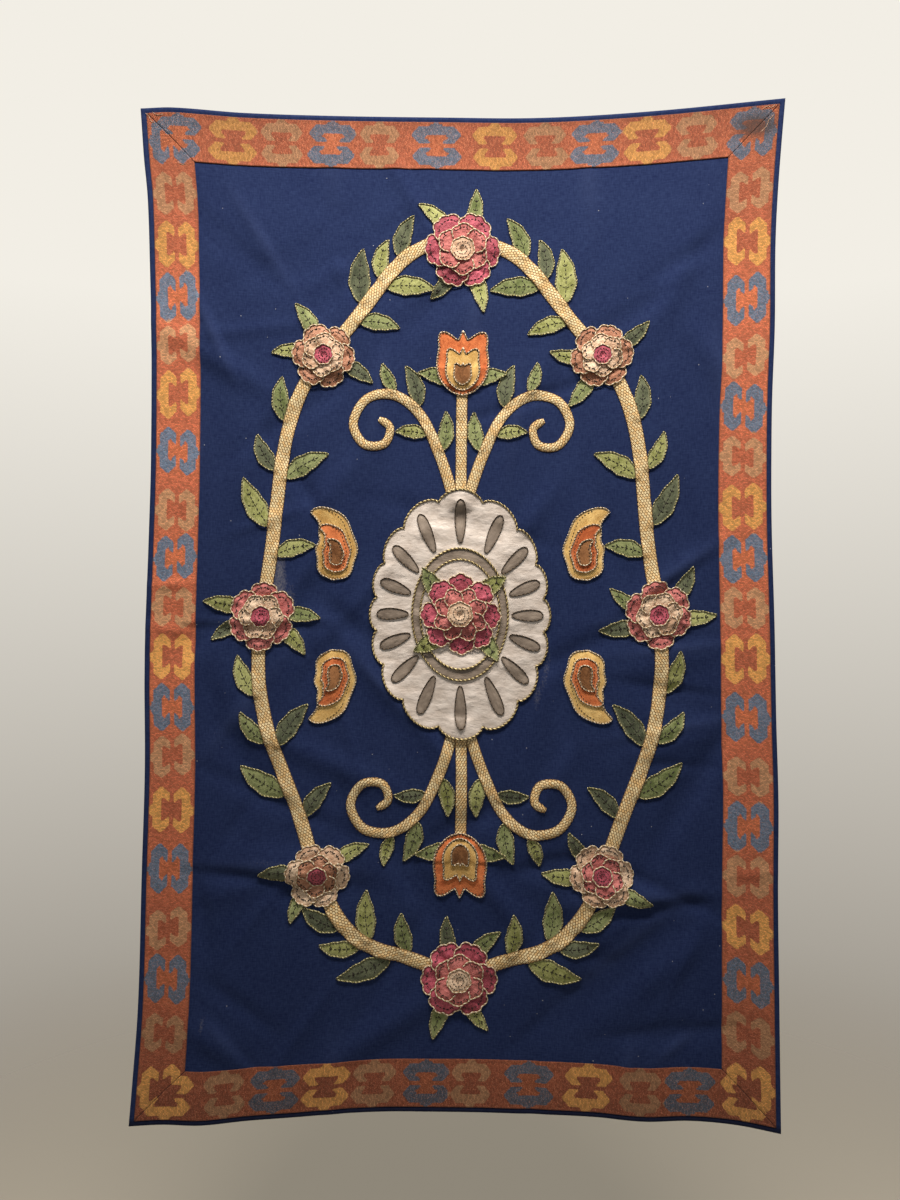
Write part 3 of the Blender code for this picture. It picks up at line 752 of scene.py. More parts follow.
@dataclass(frozen=True)
class Satin(Finish):
    """Acetate satin: long floats give a broad soft gloss, and pressed creases run across it."""

    roughness: float = 0.4
    specular: float = 0.5

    def surface(self, tree: Tree, place: Socket) -> tuple[Node, Reliefs]:
        """Builds fine floats, soft pressed creases, painted shade in the crumples' troughs and painted
        shade at the sewn edge.

        Args:
            tree: the material's nodes.
            place: the place on the piece, in millimetres.

        Returns:
            The colour and the reliefs.
        """
        creases = streaks(tree, place, 0.02, 0.045, 6.0, 4.0)
        crumpled = streaks(tree, place, 0.04, 0.06, 68.0, 3.0)
        floats = streaks(tree, place, 0.08, 0.6)
        both = add(tree, "Math", {0: floats, 1: 0.25, 2: crumpled}, operation="MULTIPLY_ADD")
        # Painted shade in the crumples' troughs, whose noise also makes their bump; the floats add
        # fine streaks.
        colour = shade(tree, both, 0.45, 0.8, self.dark, self.body)
        # Painted shade towards the sewn edge.
        colour = self.edged(tree, place, colour, 0.5, 5.0, 0.45)
        return colour, [(creases, 0.6, 0.005), (crumpled, 0.6, 0.004), (floats, 0.25, 0.0004)]


@dataclass(frozen=True)
class TwistedThread(Finish):
    """Thread or cord twisted from plies: slanting light ridges with dark grooves between them."""

    twist: float = 3.4  # drawn coarser on the thin threads so that the plies show

    def surface(self, tree: Tree, place: Socket) -> tuple[Node, Reliefs]:
        """Builds the slanting plies.

        Args:
            tree: the material's nodes.
            place: the place along and round the thread, in millimetres.

        Returns:
            The colour and the reliefs.
        """
        # A wave texture of scale 1 has 20 bands in 2 pi units.
        plies = add(tree, "TexWave", {"Vector": place, "Scale": 2 * math.pi / 20 / self.twist,
                                      "Distortion": 0.6}, bands_direction="DIAGONAL")
        colour = shade(tree, plies.outputs[1], 0.25, 0.7, self.dark, self.body)
        return colour, [(plies, 0.7, 0.0006)]


@dataclass
class Joined:
    """Many small meshes of one finish, joined as one piece."""

    name: str
    finish: Finish
    slot: str
    points: list[Array] = field(default_factory=list)
    faces: list[list[int]] = field(default_factory=list)
    values: dict[str, list[Array]] = field(default_factory=dict)
    nodes: list[str] = field(default_factory=list)
    count: int = 0

    def take(self, points: Array, faces: list[list[int]], **values: Array) -> None:
        """Takes in one more mesh.

        Args:
            points: its points in metres.
            faces: the points of each face.
            values: for each attribute, a number, vector or colour for each point.
        """
        self.points.append(points)
        self.faces += [[self.count + k for k in face] for face in faces]
        self.count += len(points)
        for name, value in values.items():
            self.values.setdefault(name, []).append(value)

    def triangles(self) -> int:
        """Counts the triangles."""
        return sum(len(face) - 2 for face in self.faces)

    def build(self) -> bpy.types.Object:
        """Makes the piece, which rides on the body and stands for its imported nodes.

        Returns:
            The piece's object.
        """
        mesh = bpy.data.meshes.new(self.name)
        mesh.from_pydata(np.concatenate(self.points), [], self.faces)
        kinds = {1: ("FLOAT", "value"), 3: ("FLOAT_VECTOR", "vector"), 4: ("FLOAT_COLOR", "color")}
        for name, parts in self.values.items():
            value = np.concatenate(parts).astype(np.float32)
            kind, key = kinds[1 if value.ndim == 1 else value.shape[1]]
            mesh.attributes.new(name, kind, "POINT").data.foreach_set(key, value.ravel())
        mesh.shade_smooth()
        mesh.materials.append(self.finish.material())
        piece = bpy.data.objects.new(self.name, mesh)
        bpy.context.scene.collection.objects.link(piece)
        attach(piece, BODY)
        if self.nodes:
            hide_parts(*self.nodes)
        return piece


@dataclass
class Patch:
    """A cut piece of cloth, as a grid of points on the flat plan."""

    flat: Array
    inset: Array  # how far each point is from the cut edge
    weave: Array  # along and across the patch's own threads
    outline: Array
    wraps: bool = False  # the rows close into a ring round the middle

    def moved(self, change: Change) -> "Patch":
        """Gives the same patch somewhere else on the plan."""
        return Patch(change(self.flat), self.inset, self.weave, change(self.outline), self.wraps)


def strip(line: Array, widths: Array | float, columns: int = 10) -> Patch:
    """Lays out a strip or a leaf along a line.

    Args:
        line: the points of its middle line.
        widths: its width at each.
        columns: how many cells lie across it.

    Returns:
        The patch, with its cells closer together at the edges.
    """
    widths = np.broadcast_to(np.asarray(widths, float), (len(line),))
    _, aside = facing(line)
    offset = widths[:, None] / 2 * np.sin(np.linspace(-1, 1, columns + 1) * math.pi / 2)
    flat = line[:, None] + aside[:, None] * offset[..., None]
    run = np.broadcast_to(length_along(line)[:, None], offset.shape)
    outline = np.concatenate([flat[:, 0], flat[::-1, -1]])
    return Patch(flat, widths[:, None] / 2 - abs(offset), np.stack([run, offset], -1), outline)


def disc(centre: Array, reach: Change, spokes: int, rings: int) -> Patch:
    """Lays out a round piece.

    Args:
        centre: its middle.
        reach: how far it reaches at an angle, in radians clockwise from straight up.
        spokes: how many points go round it.
        rings: how many rings of points it has.

    Returns:
        The patch, with its rings closer together at the edge.
    """
    angle = np.arange(spokes) * 2 * math.pi / spokes
    # The innermost ring is small, and a single face closes it.
    share = np.sin(np.linspace(0.05, 1, rings) * math.pi / 2)
    far = reach(angle)
    flat = centre + heading(np.degrees(angle))[:, None] * (far[:, None] * share)[..., None]
    outline = np.concatenate([flat[:, -1], flat[:1, -1]])
    return Patch(flat, far[:, None] * (1 - share), flat - centre, outline, True)


def shell_faces(rows: int, columns: int, picks: Sequence[int], wraps: bool) -> list[list[int]]:
    """Gives the faces of a closed sheet.

    Its front is a grid of points, and its back, numbered after it, only has some of the columns.

    Args:
        rows: the grid's rows.
        columns: the grid's columns.
        picks: the columns that the back has.
        wraps: whether the last row joins the first.

    Returns:
        The points of each face.
    """

    def quads(*corners: Array) -> list[list[int]]:
        """Makes a face of every four corners."""
        return np.stack(corners, -1).reshape(-1, 4).tolist()

    back, count = rows * columns, len(picks)
    first = np.arange(rows if wraps else rows - 1)
    after = (first + 1) % rows
    front_a, front_b = first * columns, after * columns
    back_a, back_b = back + first * count, back + after * count
    j, k = np.arange(columns - 1), np.arange(count - 1)
    a, b = front_a[:, None] + j, front_b[:, None] + j
    faces = quads(a, b, b + 1, a + 1)
    a, b = back_a[:, None] + k, back_b[:, None] + k
    faces += quads(a + 1, b + 1, b, a)
    right, left = columns - 1, count - 1
    faces += quads(front_a + right, front_b + right, back_b + left, back_a + left)
    if wraps:
        faces.append([columns * r for r in reversed(range(rows))])
        faces.append([back + count * r for r in range(rows)])
        return faces
    faces += quads(front_b, front_a, back_a, back_b)
    last, end = (rows - 1) * columns, back + (rows - 1) * count
    for m, (low, high) in enumerate(zip(picks, picks[1:])):
        faces.append([*range(low, high + 1), back + m + 1, back + m])
        faces.append([*range(last + high, last + low - 1, -1), end + m, end + m + 1])
    return faces


@dataclass(frozen=True)
class Loft:
    """How thick a sewn-on piece is, from its turned edge to its middle."""

    edge: float = 0.6
    body: float = 1.3
    crown: float = 0.8
    roll: float = 1.2

    def height(self, inset: Array) -> Array:
        """Gives the thickness at each distance from the edge."""
        share = np.clip(inset / max(float(inset.max()), TINY), 0, 1)
        full = 1 - np.exp(-inset / self.roll)
        return self.edge + (self.body - self.edge) * full + self.crown * share * (2 - share)


@dataclass(frozen=True)
class Cord:
    """A cord that is sewn down along a line."""

    radius: float
    step: float = 2.8  # the distance between its rings of points
    sides: int = 5
    groove: float = 0.0  # how deep the groove between its two plies is, as a share of the radius
    turn: float = 7.0  # the length of one turn of its plies


@dataclass(frozen=True)
class Stitch:
    """A running stitch: its length, the cloth left before the next, and the thread's width."""

    length: float
    gap: float
    width: float


@dataclass(frozen=True)
class Overcast:
    """Small slanting stitches over an edge or a cord."""

    pitch: float  # the distance between two
    reach: float  # how far each goes to both sides
    width: float
    slant: float = 0.9  # how far each leans along it


@dataclass
class Bench:
    """Where the hanging is put together: its form, what has been laid on it, and its pieces."""

    form: HungForm
    stack: Stack
    pieces: dict[str, Joined] = field(default_factory=dict)
    seams: list[Array] = field(default_factory=list)
    chance: np.random.Generator = field(default_factory=lambda: np.random.default_rng(SEED))
    made: dict[str, bpy.types.Object] = field(default_factory=dict)
    # How high a cord's middle lies on what it crosses, and what the stack then remembers of it:
    # aside and up from its middle. All are shares of its radius.
    cord_rest: float = 0.55
    cord_roof: Rows = ((-0.8, 0.15), (0.0, 0.95), (0.8, 0.15))
    # A stitch from end to end: the share of the way, of the thread's width and of its height.
    stitch_line: Rows = ((0.0, 0.5, -1.0), (0.22, 1.0, 1.0), (0.78, 1.0, 1.0), (1.0, 0.5, -1.0))
    # A stitch from side to side: aside and up, as shares of the thread's width.
    stitch_section: Rows = ((-0.5, -0.3), (0.0, 0.35), (0.5, -0.3))
    stitch_height: float = 0.3
    # How uneven hand sewing is: how late a stitch starts, how much of its length it has, and how
    # much of its reach an overcast stitch has.
    lateness: Pair = (0.0, 0.7)
    lengths: Pair = (0.8, 1.0)
    reaches: Pair = (0.8, 1.15)
    weave_shift: float = 500.0  # how far apart the patterns of two patches may start

    def start(self, name: str, finish: Finish, slot: str) -> None:
        """Opens a piece that patches and threads can be added to."""
        self.pieces[name] = Joined(name, finish, slot)

    def sew(
        self, name: str, patch: Patch, loft: Loft, dent: Array | float = 0.0,
        node: str | None = None,
    ) -> None:
        """Lays a patch over what is there already and adds it to a piece.

        Args:
            name: the piece.
            patch: the patch.
            loft: its thickness.
            dent: how far the sewing pulls each of its points down.
            node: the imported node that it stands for.
        """
        lift = self.stack.under(patch.flat) + loft.height(patch.inset) - dent
        columns = patch.flat.shape[1]
        picks = [*range(0, columns - 1, 2), columns - 1]
        self.shell(name, patch, lift, self.stack.bare(patch.flat[:, picks]), picks)
        grid = patch.flat, lift
        if patch.wraps:
            grid = tuple(np.concatenate([part, part[:1]]) for part in grid)
        self.stack.lay(*grid)
        self.seams.append(patch.outline)
        if node:
            self.pieces[name].nodes.append(node)

    def shell(
        self, name: str, patch: Patch, lift: Array, below: Array, picks: list[int],
        **values: Array,
    ) -> None:
        """Adds a closed sheet to a piece.

        Args:
            name: the piece.
            patch: its plan.
            lift: how high its front stands at each point.
            below: how high its back stands at the picked columns.
            picks: the columns that its back has.
            values: more attributes, for each point of the grid.
        """
        rows, columns = patch.flat.shape[:2]
        front = self.form.point(patch.flat, lift).reshape(-1, 3)
        back = self.form.point(patch.flat[:, picks], below).reshape(-1, 3)
        faces = shell_faces(rows, columns, picks, patch.wraps)
        steps = patch.flat[1:, :-1] - patch.flat[:-1, :-1]
        sides = patch.flat[1:, 1:] - patch.flat[1:, :-1]
        if (steps[..., 0] * sides[..., 1] - steps[..., 1] * sides[..., 0]).sum() > 0:
            faces = [face[::-1] for face in faces]
        shift = (self.chance.uniform(0, self.weave_shift), 0.0)
        own = {
            "weave": np.concatenate([patch.weave + shift, patch.inset[..., None]], -1),
            "tone": np.full((rows, columns), self.chance.random()),
            **values,
        }
        joined = {}
        for key, value in own.items():
            # The dyes and marks of the front don't reach the back.
            behind = value[:, picks] * (key not in values)
            parts = [part.reshape(-1, *value.shape[2:]) for part in (value, behind)]
            joined[key] = np.concatenate(parts)
        self.pieces[name].take(np.concatenate([front, back]), faces, **joined)

    def thread(
        self, name: str, points: Array, faces: list[list[int]], run: Array, side: Array
    ) -> None:
        """Adds a mesh of thread to a piece.

        Args:
            name: the piece.
            points: its points, with any number of axes before the last.
            faces: the points of each face.
            run: how far along the thread each point is.
            side: how far round it.
        """
        side = np.broadcast_to(side, points.shape[:-1])
        weave = np.stack([np.broadcast_to(run, side.shape), side, np.zeros(side.shape)], -1)
        self.pieces[name].take(points.reshape(-1, 3), faces, weave=weave.reshape(-1, 3),
                               tone=np.zeros(side.size))

    def cord(self, name: str, path: Array, kind: Cord) -> None:
        """Couches a cord along a path.

        Args:
            name: the piece.
            path: where it runs.
            kind: the cord.
        """
        path = spaced(path, kind.step)
        _, aside = facing(path)
        radius, sides = kind.radius, kind.sides
        middle = self.stack.under(path, 1)[:, None] + self.cord_rest * radius
        angle = np.arange(sides) * 2 * math.pi / sides
        run = length_along(path)[:, None]
        ring = radius * (1 + kind.groove * np.cos(2 * (angle - 2 * math.pi * run / kind.turn)))
        flat = path[:, None] + aside[:, None] * (ring * np.cos(angle))[..., None]
        points = self.form.point(flat, middle + ring * np.sin(angle))
        k = np.arange(sides)
        i = np.arange(len(path) - 1)[:, None] * sides
        m = (k + 1) % sides
        faces = np.stack([i + k, i + sides + k, i + sides + m, i + m], -1).reshape(-1, 4).tolist()
        faces.append(k.tolist())
        faces.append((len(path) * sides - 1 - k).tolist())
        self.thread(name, points, faces, run, angle * radius)
        across, up = np.array(self.cord_roof).T * radius
        self.stack.lay(path[:, None] + aside[:, None] * across[:, None], middle + up)

    def stitches(
        self, name: str, start: Array, end: Array, width: float, behind: bool = False
    ) -> None:
        """Adds single stitches, which rise from the cloth and dive back into it.

        Args:
            name: the piece.
            start: where each comes up.
            end: where each goes down.
            width: the thread's width.
            behind: whether they lie on the back of the cloth.
        """
        share, girth, level = np.array(self.stitch_line).T
        out, up = np.array(self.stitch_section).T
        middle = start[:, None] + (end - start)[:, None] * share[:, None]
        length = np.linalg.norm(end - start, axis=1)[:, None]
        ahead = (end - start) / np.maximum(length, TINY)
        aside = np.stack([-ahead[:, 1], ahead[:, 0]], 1)
        thick = girth[:, None] * width
        flat = middle[:, :, None] + aside[:, None, None] * (thick * out)[..., None]
        rise = level[:, None] * self.stitch_height + thick * up
        if behind:
            lift = -self.form.thickness - rise
        else:
            lift = self.stack.under(middle, 1)[..., None] + rise
        points = self.form.point(flat, np.broadcast_to(lift, flat.shape[:3]))
        one = [
            [3 * i + k, 3 * i + (k + 1) % 3, 3 * i + 3 + (k + 1) % 3, 3 * i + 3 + k]
            for i in range(3) for k in range(3)
        ]
        one += [[2, 1, 0], [9, 10, 11]]
        if behind:
            one = [face[::-1] for face in one]
        faces = [[s + k for k in face] for s in range(0, 12 * len(start), 12) for face in one]
        self.thread(name, points, faces, length[..., None] * share[:, None], thick * out)

    def run(self, name: str, path: Array, kind: Stitch, behind: bool = False) -> None:
        """Sews a running stitch along a path.

        Args:
            name: the piece of thread.
            path: where it runs.
            kind: the stitch.
            behind: whether it lies on the back of the cloth.
        """
        way, pitch = length_along(path), kind.length + kind.gap
        count = int((way[-1] + kind.gap) // pitch)
        if not count:
            return
        at = np.arange(count) * pitch + self.chance.uniform(*self.lateness, count)
        far = at + kind.length * self.chance.uniform(*self.lengths, count)
        ends = [
            np.stack([np.interp(where, way, path[:, k]) for k in (0, 1)], 1)
            for where in (at, far)
        ]
        self.stitches(name, *ends, kind.width, behind)

    def couch(self, name: str, path: Array, kind: Overcast) -> None:
        """Sews small slanting stitches over an edge or a cord.

        Args:
            name: the piece of thread.
            path: the edge or cord.
            kind: the stitches.
        """
        points = spaced(path, kind.pitch)[1:-1]
        ahead, aside = facing(points)
        reaches = self.chance.uniform(*self.reaches, (len(points), 1)) * kind.reach
        step = aside * reaches + ahead * kind.slant
        self.stitches(name, points - step, points + step, kind.width)

    def build(self) -> None:
        """Makes all the pieces and reports each."""
        for name, piece in self.pieces.items():
            self.made[name] = piece.build()
            LOG.info("%s: %d triangles, %d nodes", name, piece.triangles(), len(piece.nodes))
        LOG.info("%d triangles in all", sum(piece.triangles() for piece in self.pieces.values()))


class Dye(Enum):
    """The colours of the border's motifs."""

    BLUE = "#6D8BAC"
    TAN = "#D7A57D"
    YELLOW = "#F7B868"


class Edge(Enum):
    """The four edges of the hanging."""

    TOP = "top"
    BOTTOM = "bottom"
    LEFT = "left"
    RIGHT = "right"


@dataclass
class GroundCloth:
    """The navy cloth with its hem, crease crests partly worn and partly a painted highlight, its dust
    and painted shade at its foot.
    """

    cell: float = 5.4
    # How far the hem stands out at each distance from the edge, on the front and on the back.
    hem: Rows = (
        (0.0, -0.7), (1.2, 0.5), (3.0, 1.0), (6.0, 0.9), (7.5, 0.05), (14.0, 0.0), (16.0, 0.0),
    )
    back_hem: Rows = ((0.0, -1.2), (1.2, 0.0), (3.0, 0.7), (14.0, 0.7), (16.0, 0.0))
    back_step: int = 2  # the back has every second column between its hems
    # Dusty marks, with the columns of ridges().
    marks: Rows = (
        (-292, 735, 90, 70, 12, 0.5), (-275, 800, 84, 60, 15, 0.4), (138, 885, 80, 60, 9, 0.32),
        (120, 930, 90, 40, 8, 0.25), (-300, 1190, -4, 80, 12, 0.25),
        (-395, 1420, 80, 34, 9, 0.2), (-405, 1445, 90, 22, 6, 0.26),
    )
    stitch_inset: float = 15.5
    shaded_foot: float = 10.0  # how much of the cloth's lower edge has painted shade
    shade_fade: float = 3.0
    worn: float = 0.13  # how much each ridged crease is paler: partly worn, partly a painted highlight
    most_wear_and_highlight: float = 0.2
    hem_stitch: Stitch = Stitch(3.5, 9.0, 1.3)
    seam_stitch: Stitch = Stitch(3.2, 19.0, 1.2)

    def lines(self, size: float) -> Array:
        """Gives where the cloth's grid lines lie along one side."""
        near = [row[0] for row in self.hem]
        cells = round((size - 2 * near[-1]) / self.cell)
        even = np.linspace(near[-1], size - near[-1], cells + 1)[1:-1]
        return np.array([*near, *even, *(size - k for k in reversed(near))])

    def build(self, bench: Bench) -> None:
        """Lays out the cloth and its marks: dust, crests paler in part from a painted highlight, and
        painted shade along its foot.
        """
        form, name = bench.form, "ground_cloth_navy"
        across, down = self.lines(form.width), self.lines(form.height)
        flat = np.stack(np.meshgrid(across - form.width / 2, down), -1)
        inside = np.minimum(
            np.minimum(across, form.width - across),
            np.minimum(down, form.height - down)[:, None],
        )
        hung = form.place(flat)
        # The crease crests are paler: partly worn, partly a painted highlight.
        crests = tuple((*row[:5], 1.0) for row in form.creases if row[5] > 0)
        wear = np.minimum(ridges(crests, hung[..., 0], -hung[..., 1]) * self.worn, self.most_wear_and_highlight)
        dust = ridges(self.marks, flat[..., 0], flat[..., 1])
        # Painted shade along the cloth's foot, where its hem curls away from the light.
        soil = np.clip((flat[..., 1] - form.height + self.shaded_foot) / self.shade_fade, 0, 1)
        edge, columns = len(self.hem), flat.shape[1]
        picks = [*range(edge), *range(edge + 1, columns - edge - 1, self.back_step),
                 *range(columns - edge, columns)]
        back = -form.thickness - np.interp(inside[:, picks], *np.array(self.back_hem).T)
        patch = Patch(flat, inside, flat.copy(), flat[0])
        lift = np.interp(inside, *np.array(self.hem).T)
        bench.shell(name, patch, lift, back, picks, wear=wear, dust=dust, soil=soil)
        bench.pieces[name].nodes.append("ground_cloth")

    def sew_back(self, bench: Bench) -> None:
        """Sews the hem and shows on the back what holds the pieces on the front."""
        half = bench.form.width / 2 - self.stitch_inset
        top, foot = self.stitch_inset, bench.form.height - self.stitch_inset
        hem = np.array([(-half, top), (half, top), (half, foot), (-half, foot), (-half, top)])
        bench.run("sewing_on_the_back", spaced(hem, 2.0), self.hem_stitch, behind=True)
        for seam in bench.seams:
            bench.run("sewing_on_the_back", seam, self.seam_stitch, behind=True)


@dataclass
class WovenBorder:
    """Four tapestry strips, mitred at the corners, with a repeat of facing brackets."""

    cell: float = 2.8
    columns: int = 30
    edge_lines: Row = (0.0, 0.014, 0.03)  # grid lines at an edge, as shares across
    back_step: int = 3  # the back has every third column
    thickness: float = 1.2
    turned: float = 1.9  # the thickness where the edge is turned under
    turned_width: float = 3.0
    rounding: float = 0.9  # how far the very edge goes down
    rounding_width: float = 0.5
    seam: float = 0.45  # what each mitred end leaves free
    # Margin and width at the first end, then at the other end.
    insets: dict[Edge, tuple[float, float, float, float]] = field(
        default_factory=lambda: {
            Edge.TOP: (8.5, 77.0, 8.5, 77.0),
            Edge.BOTTOM: (8.5, 77.0, 8.5, 77.0),
            Edge.LEFT: (9.0, 71.0, 8.0, 73.0),
            Edge.RIGHT: (8.5, 75.0, 8.0, 84.0),
        }
    )
    # The motifs' colours by their first letters, and their middles along the strip, from the
    # cloth's middle line or its top edge.
    motifs: dict[Edge, tuple[str, tuple[int, ...]]] = field(
        default_factory=lambda: {
            Edge.TOP: (
                "BYTBTBYTBYTB", (-449, -362, -285, -206, -131, -41, 51, 131, 209, 291, 369, 455)
            ),
            Edge.BOTTOM: (
                "YTBYTBTBYTBY", (-448, -360, -282, -202, -128, -46, 23, 113, 204, 286, 362, 448)
            ),
            Edge.LEFT: (
                "BTYBTYBTBTYBTYBTBTY",
                (53, 136, 217, 299, 374, 451, 542, 634, 708, 786, 864, 943, 1019, 1104, 1196,
                 1290, 1369, 1455, 1541),
            ),
            Edge.RIGHT: (
                "BTYBTBTYBTYBTBTYBTY",
                (52, 140, 220, 310, 400, 479, 556, 634, 714, 791, 870, 961, 1053, 1130, 1208,
                 1290, 1373, 1455, 1538),
            ),
        }
    )
    half_length: dict[Dye, float] = field(
        default_factory=lambda: {Dye.BLUE: 37.0, Dye.TAN: 31.0, Dye.YELLOW: 36.0}
    )
    # A quarter of the motif, from the middle of its length outwards, in a broad form for blue and
    # a slender one. Each row runs from the strip's edge to its middle line: # is the motif and o
    # the ground inside it.
    broad: tuple[str, ...] = (
        "######ooooo", ".#####ooooo", ".#####ooooo", "..####ooo#o", "..####oo##o", "..#####o##.",
        "..########.", "..########.", "..########.", "...######..", "....####...", ".....##....",
        "...........",
    )
    slender: tuple[str, ...] = (
        "######ooooo", "######ooooo", ".#####ooooo", "..####ooooo", "..####ooo#o", "..####oo##.",
        "..########.", "..########.", "..########.", "...######..", "....####...", ".....##....",
        "...........",
    )
    ground: str = "#DC7A5A"
    bright: str = "#E8835A"
    dull: str = "#CE7152"
    # How much brighter a motif is kept than the ground under the painted shade below, and how much of
    # that each dye shows.
    kept: Rows = ((0, 1.0), (900, 1.06), (1400, 1.38), (1600, 2.0))
    lift_share: dict[Dye, float] = field(
        default_factory=lambda: {Dye.BLUE: 0.0, Dye.TAN: 0.3, Dye.YELLOW: 1.0}
    )
    # How strong the dyes are at each distance down: a painted shade, darker at the top and towards the
    # foot.
    strength: Rows = (
        (0, 0.45), (90, 0.61), (300, 0.97), (800, 1.06), (1250, 0.81), (1400, 0.67),
        (1510, 0.49), (1600, 0.31),
    )
    # How much the motifs differ in length and in dye, and how far their halves are shifted.
    lengths: Pair = (0.96, 1.08)
    dyed: Pair = (0.92, 1.08)
    shift: float = 2.5
    # Between the motifs the ground has the motif's own shade of it: how much, and how far out.
    halo: Pair = (0.5, 1.2)
    stain_at: Pair = (462.0, 40.0)
    stain_reach: Pair = (36.0, 20.0)

    def corners(self, form: HungForm) -> dict[tuple[int, int], Array]:
        """Gives the outer and inner corner of the border at each corner of the cloth."""
        found = {}
        for u, v in ((0, 0), (0, 1), (1, 0), (1, 1)):
            level = self.insets[Edge.BOTTOM if v else Edge.TOP]
            upright = self.insets[Edge.RIGHT if u else Edge.LEFT]
            down = np.cumsum(level[2 * u : 2 * u + 2])
            across = np.cumsum(upright[2 * v : 2 * v + 2])
            found[u, v] = np.stack(
                [(u - 0.5) * form.width + (1 - 2 * u) * across,
                 v * form.height + (1 - 2 * v) * down], 1
            )
        return found

    def charted(self, kind: Dye, sign: str, row: Array, column: Array) -> Array:
        """Reads how much of a sign the chart has at a place between its cells.

        Args:
            kind: the motif's colour.
            sign: the chart's sign.
            row: the distance from the motif's middle, in rows.
            column: the distance from the strip's edge, in columns.

        Returns:
            From 0 to 1.
        """
        chart = self.broad if kind is Dye.BLUE else self.slender
        table = np.array([[cell == sign for cell in line] for line in chart], float)
        table = np.pad(table, 1, mode="edge")
        table[-1] = 0.0
        return between_cells(table, row + 0.5, column + 0.5)

    def dyes(
        self, bench: Bench, edge: Edge, along: Array, aside: Array, half_width: Array,
        down: Array,
    ) -> dict[str, Array]:
        """Works out the motif and its colours at each point of a strip.

        Args:
            bench: for its chance.
            edge: the strip.
            along: the place along the strip.
            aside: the distance from the strip's middle line.
            half_width: half the strip's width there.
            down: the distance from the cloth's top edge.

        Returns:
            The attributes that the finish reads.
        """
        amount, reach = self.halo
        motif, nearest = np.zeros_like(along), np.full(along.shape, np.inf)
        dye = np.zeros((*along.shape, 4))
        ground = np.broadcast_to(np.array(linear(self.ground)), dye.shape)
        column = (half_width - abs(aside)) / half_width * len(self.broad[0])
        for letter, place in zip(*self.motifs[edge]):
            kind = next(each for each in Dye if each.name[0] == letter)
            length = self.half_length[kind] * bench.chance.uniform(*self.lengths)
            shift = bench.chance.uniform(-self.shift, self.shift)
            distance = abs(along - place - shift * np.sign(aside))
            row = distance / length * (len(self.broad) - 1)
            near = abs(along - place) < nearest
            nearest = np.minimum(nearest, abs(along - place))
            lifted = 1 + (np.interp(down[near], *np.array(self.kept).T) - 1) * self.lift_share[kind]
            colour = np.array(linear(kind.value)) * bench.chance.uniform(*self.dyed)
            dye[near] = colour * lifted[:, None]
            motif = np.maximum(motif, self.charted(kind, "#", row, column))
            tint = np.array(linear(self.bright if kind is Dye.BLUE else self.dull))
            halo = amount * np.exp(-((distance / (length * reach)) ** 4))
            weight = np.maximum(self.charted(kind, "o", row, column), halo)[..., None]
            ground = ground * (1 - weight) + tint * weight
        return {"motif": motif, "motif_dye": dye, "ground_dye": ground}

    def build(self, bench: Bench) -> None:
        """Lays out the four strips."""
        found = self.corners(bench.form)
        ends = {
            Edge.TOP: ((0, 0), (1, 0)), Edge.BOTTOM: ((0, 1), (1, 1)),
            Edge.LEFT: ((0, 0), (0, 1)), Edge.RIGHT: ((1, 0), (1, 1)),
        }
        even, near = np.linspace(0, 1, self.columns + 1)[2:-2], self.edge_lines
        share = np.array([*near, *even, *(1 - line for line in reversed(near))])[:, None]
        for edge, (first, last) in ends.items():
            start, end = found[first], found[last]
            level = edge in (Edge.TOP, Edge.BOTTOM)
            rows = round(np.linalg.norm(end[0] - start[0]) / self.cell)
            at = np.linspace(0, 1, rows + 1)[:, None, None]
            line_start = start[0] + (start[1] - start[0]) * share
            line_end = end[0] + (end[1] - end[0]) * share
            trim = self.seam / np.linalg.norm(line_end - line_start, axis=1)[:, None]
            flat = line_start + (line_end - line_start) * (trim + (1 - 2 * trim) * at)
            outer, inner = (start[k] + (end[k] - start[k]) * at for k in (0, 1))
            along, deep = (flat[..., k] for k in ((0, 1) if level else (1, 0)))
            low, high = (line[..., 1 if level else 0] for line in (outer, inner))
            aside = deep - (low + high) / 2
            half_width = abs(high - low) / 2 * np.ones_like(along)
            values = self.dyes(bench, edge, along, aside, half_width, flat[..., 1])
            # Painted shade: the dyes darker at the top and towards the foot.
            strength = np.interp(flat[..., 1], *np.array(self.strength).T)[..., None]
            values["motif_dye"] = values["motif_dye"] * strength
            values["ground_dye"] = values["ground_dye"] * strength
            spot = np.linalg.norm(
                (flat - np.array(self.stain_at)) / np.array(self.stain_reach), axis=-1
            )
            values["stain"] = np.exp(-(spot**2))
            inset = np.minimum(share, 1 - share)[:, 0] * 2 * half_width
            fold = np.exp(-((inset / self.turned_width) ** 2))
            thick = self.thickness + (self.turned - self.thickness) * fold
            thick -= self.rounding * np.exp(-inset / self.rounding_width)
            name = f"woven_border_{edge.value}"
            columns = flat.shape[1]
            picks = [*range(0, columns - 1, self.back_step), columns - 1]
            patch = Patch(flat, inset, np.stack([along, aside], -1), flat[:, 0])
            # The band's dark colour serves its flecks and the painted shadow along its edges.
            bench.start(name, TapestryBand("wool_tapestry_band", "#E7A27E", "#6B3B2A"),
                        "woven_band")
            bench.shell(name, patch, thick, np.zeros((rows + 1, len(picks))), picks, **values)
            bench.stack.lay(flat, thick)
            bench.pieces[name].nodes.append(f"border_{edge.value}")
            bench.seams += [flat[:, 1], flat[:, -2]]


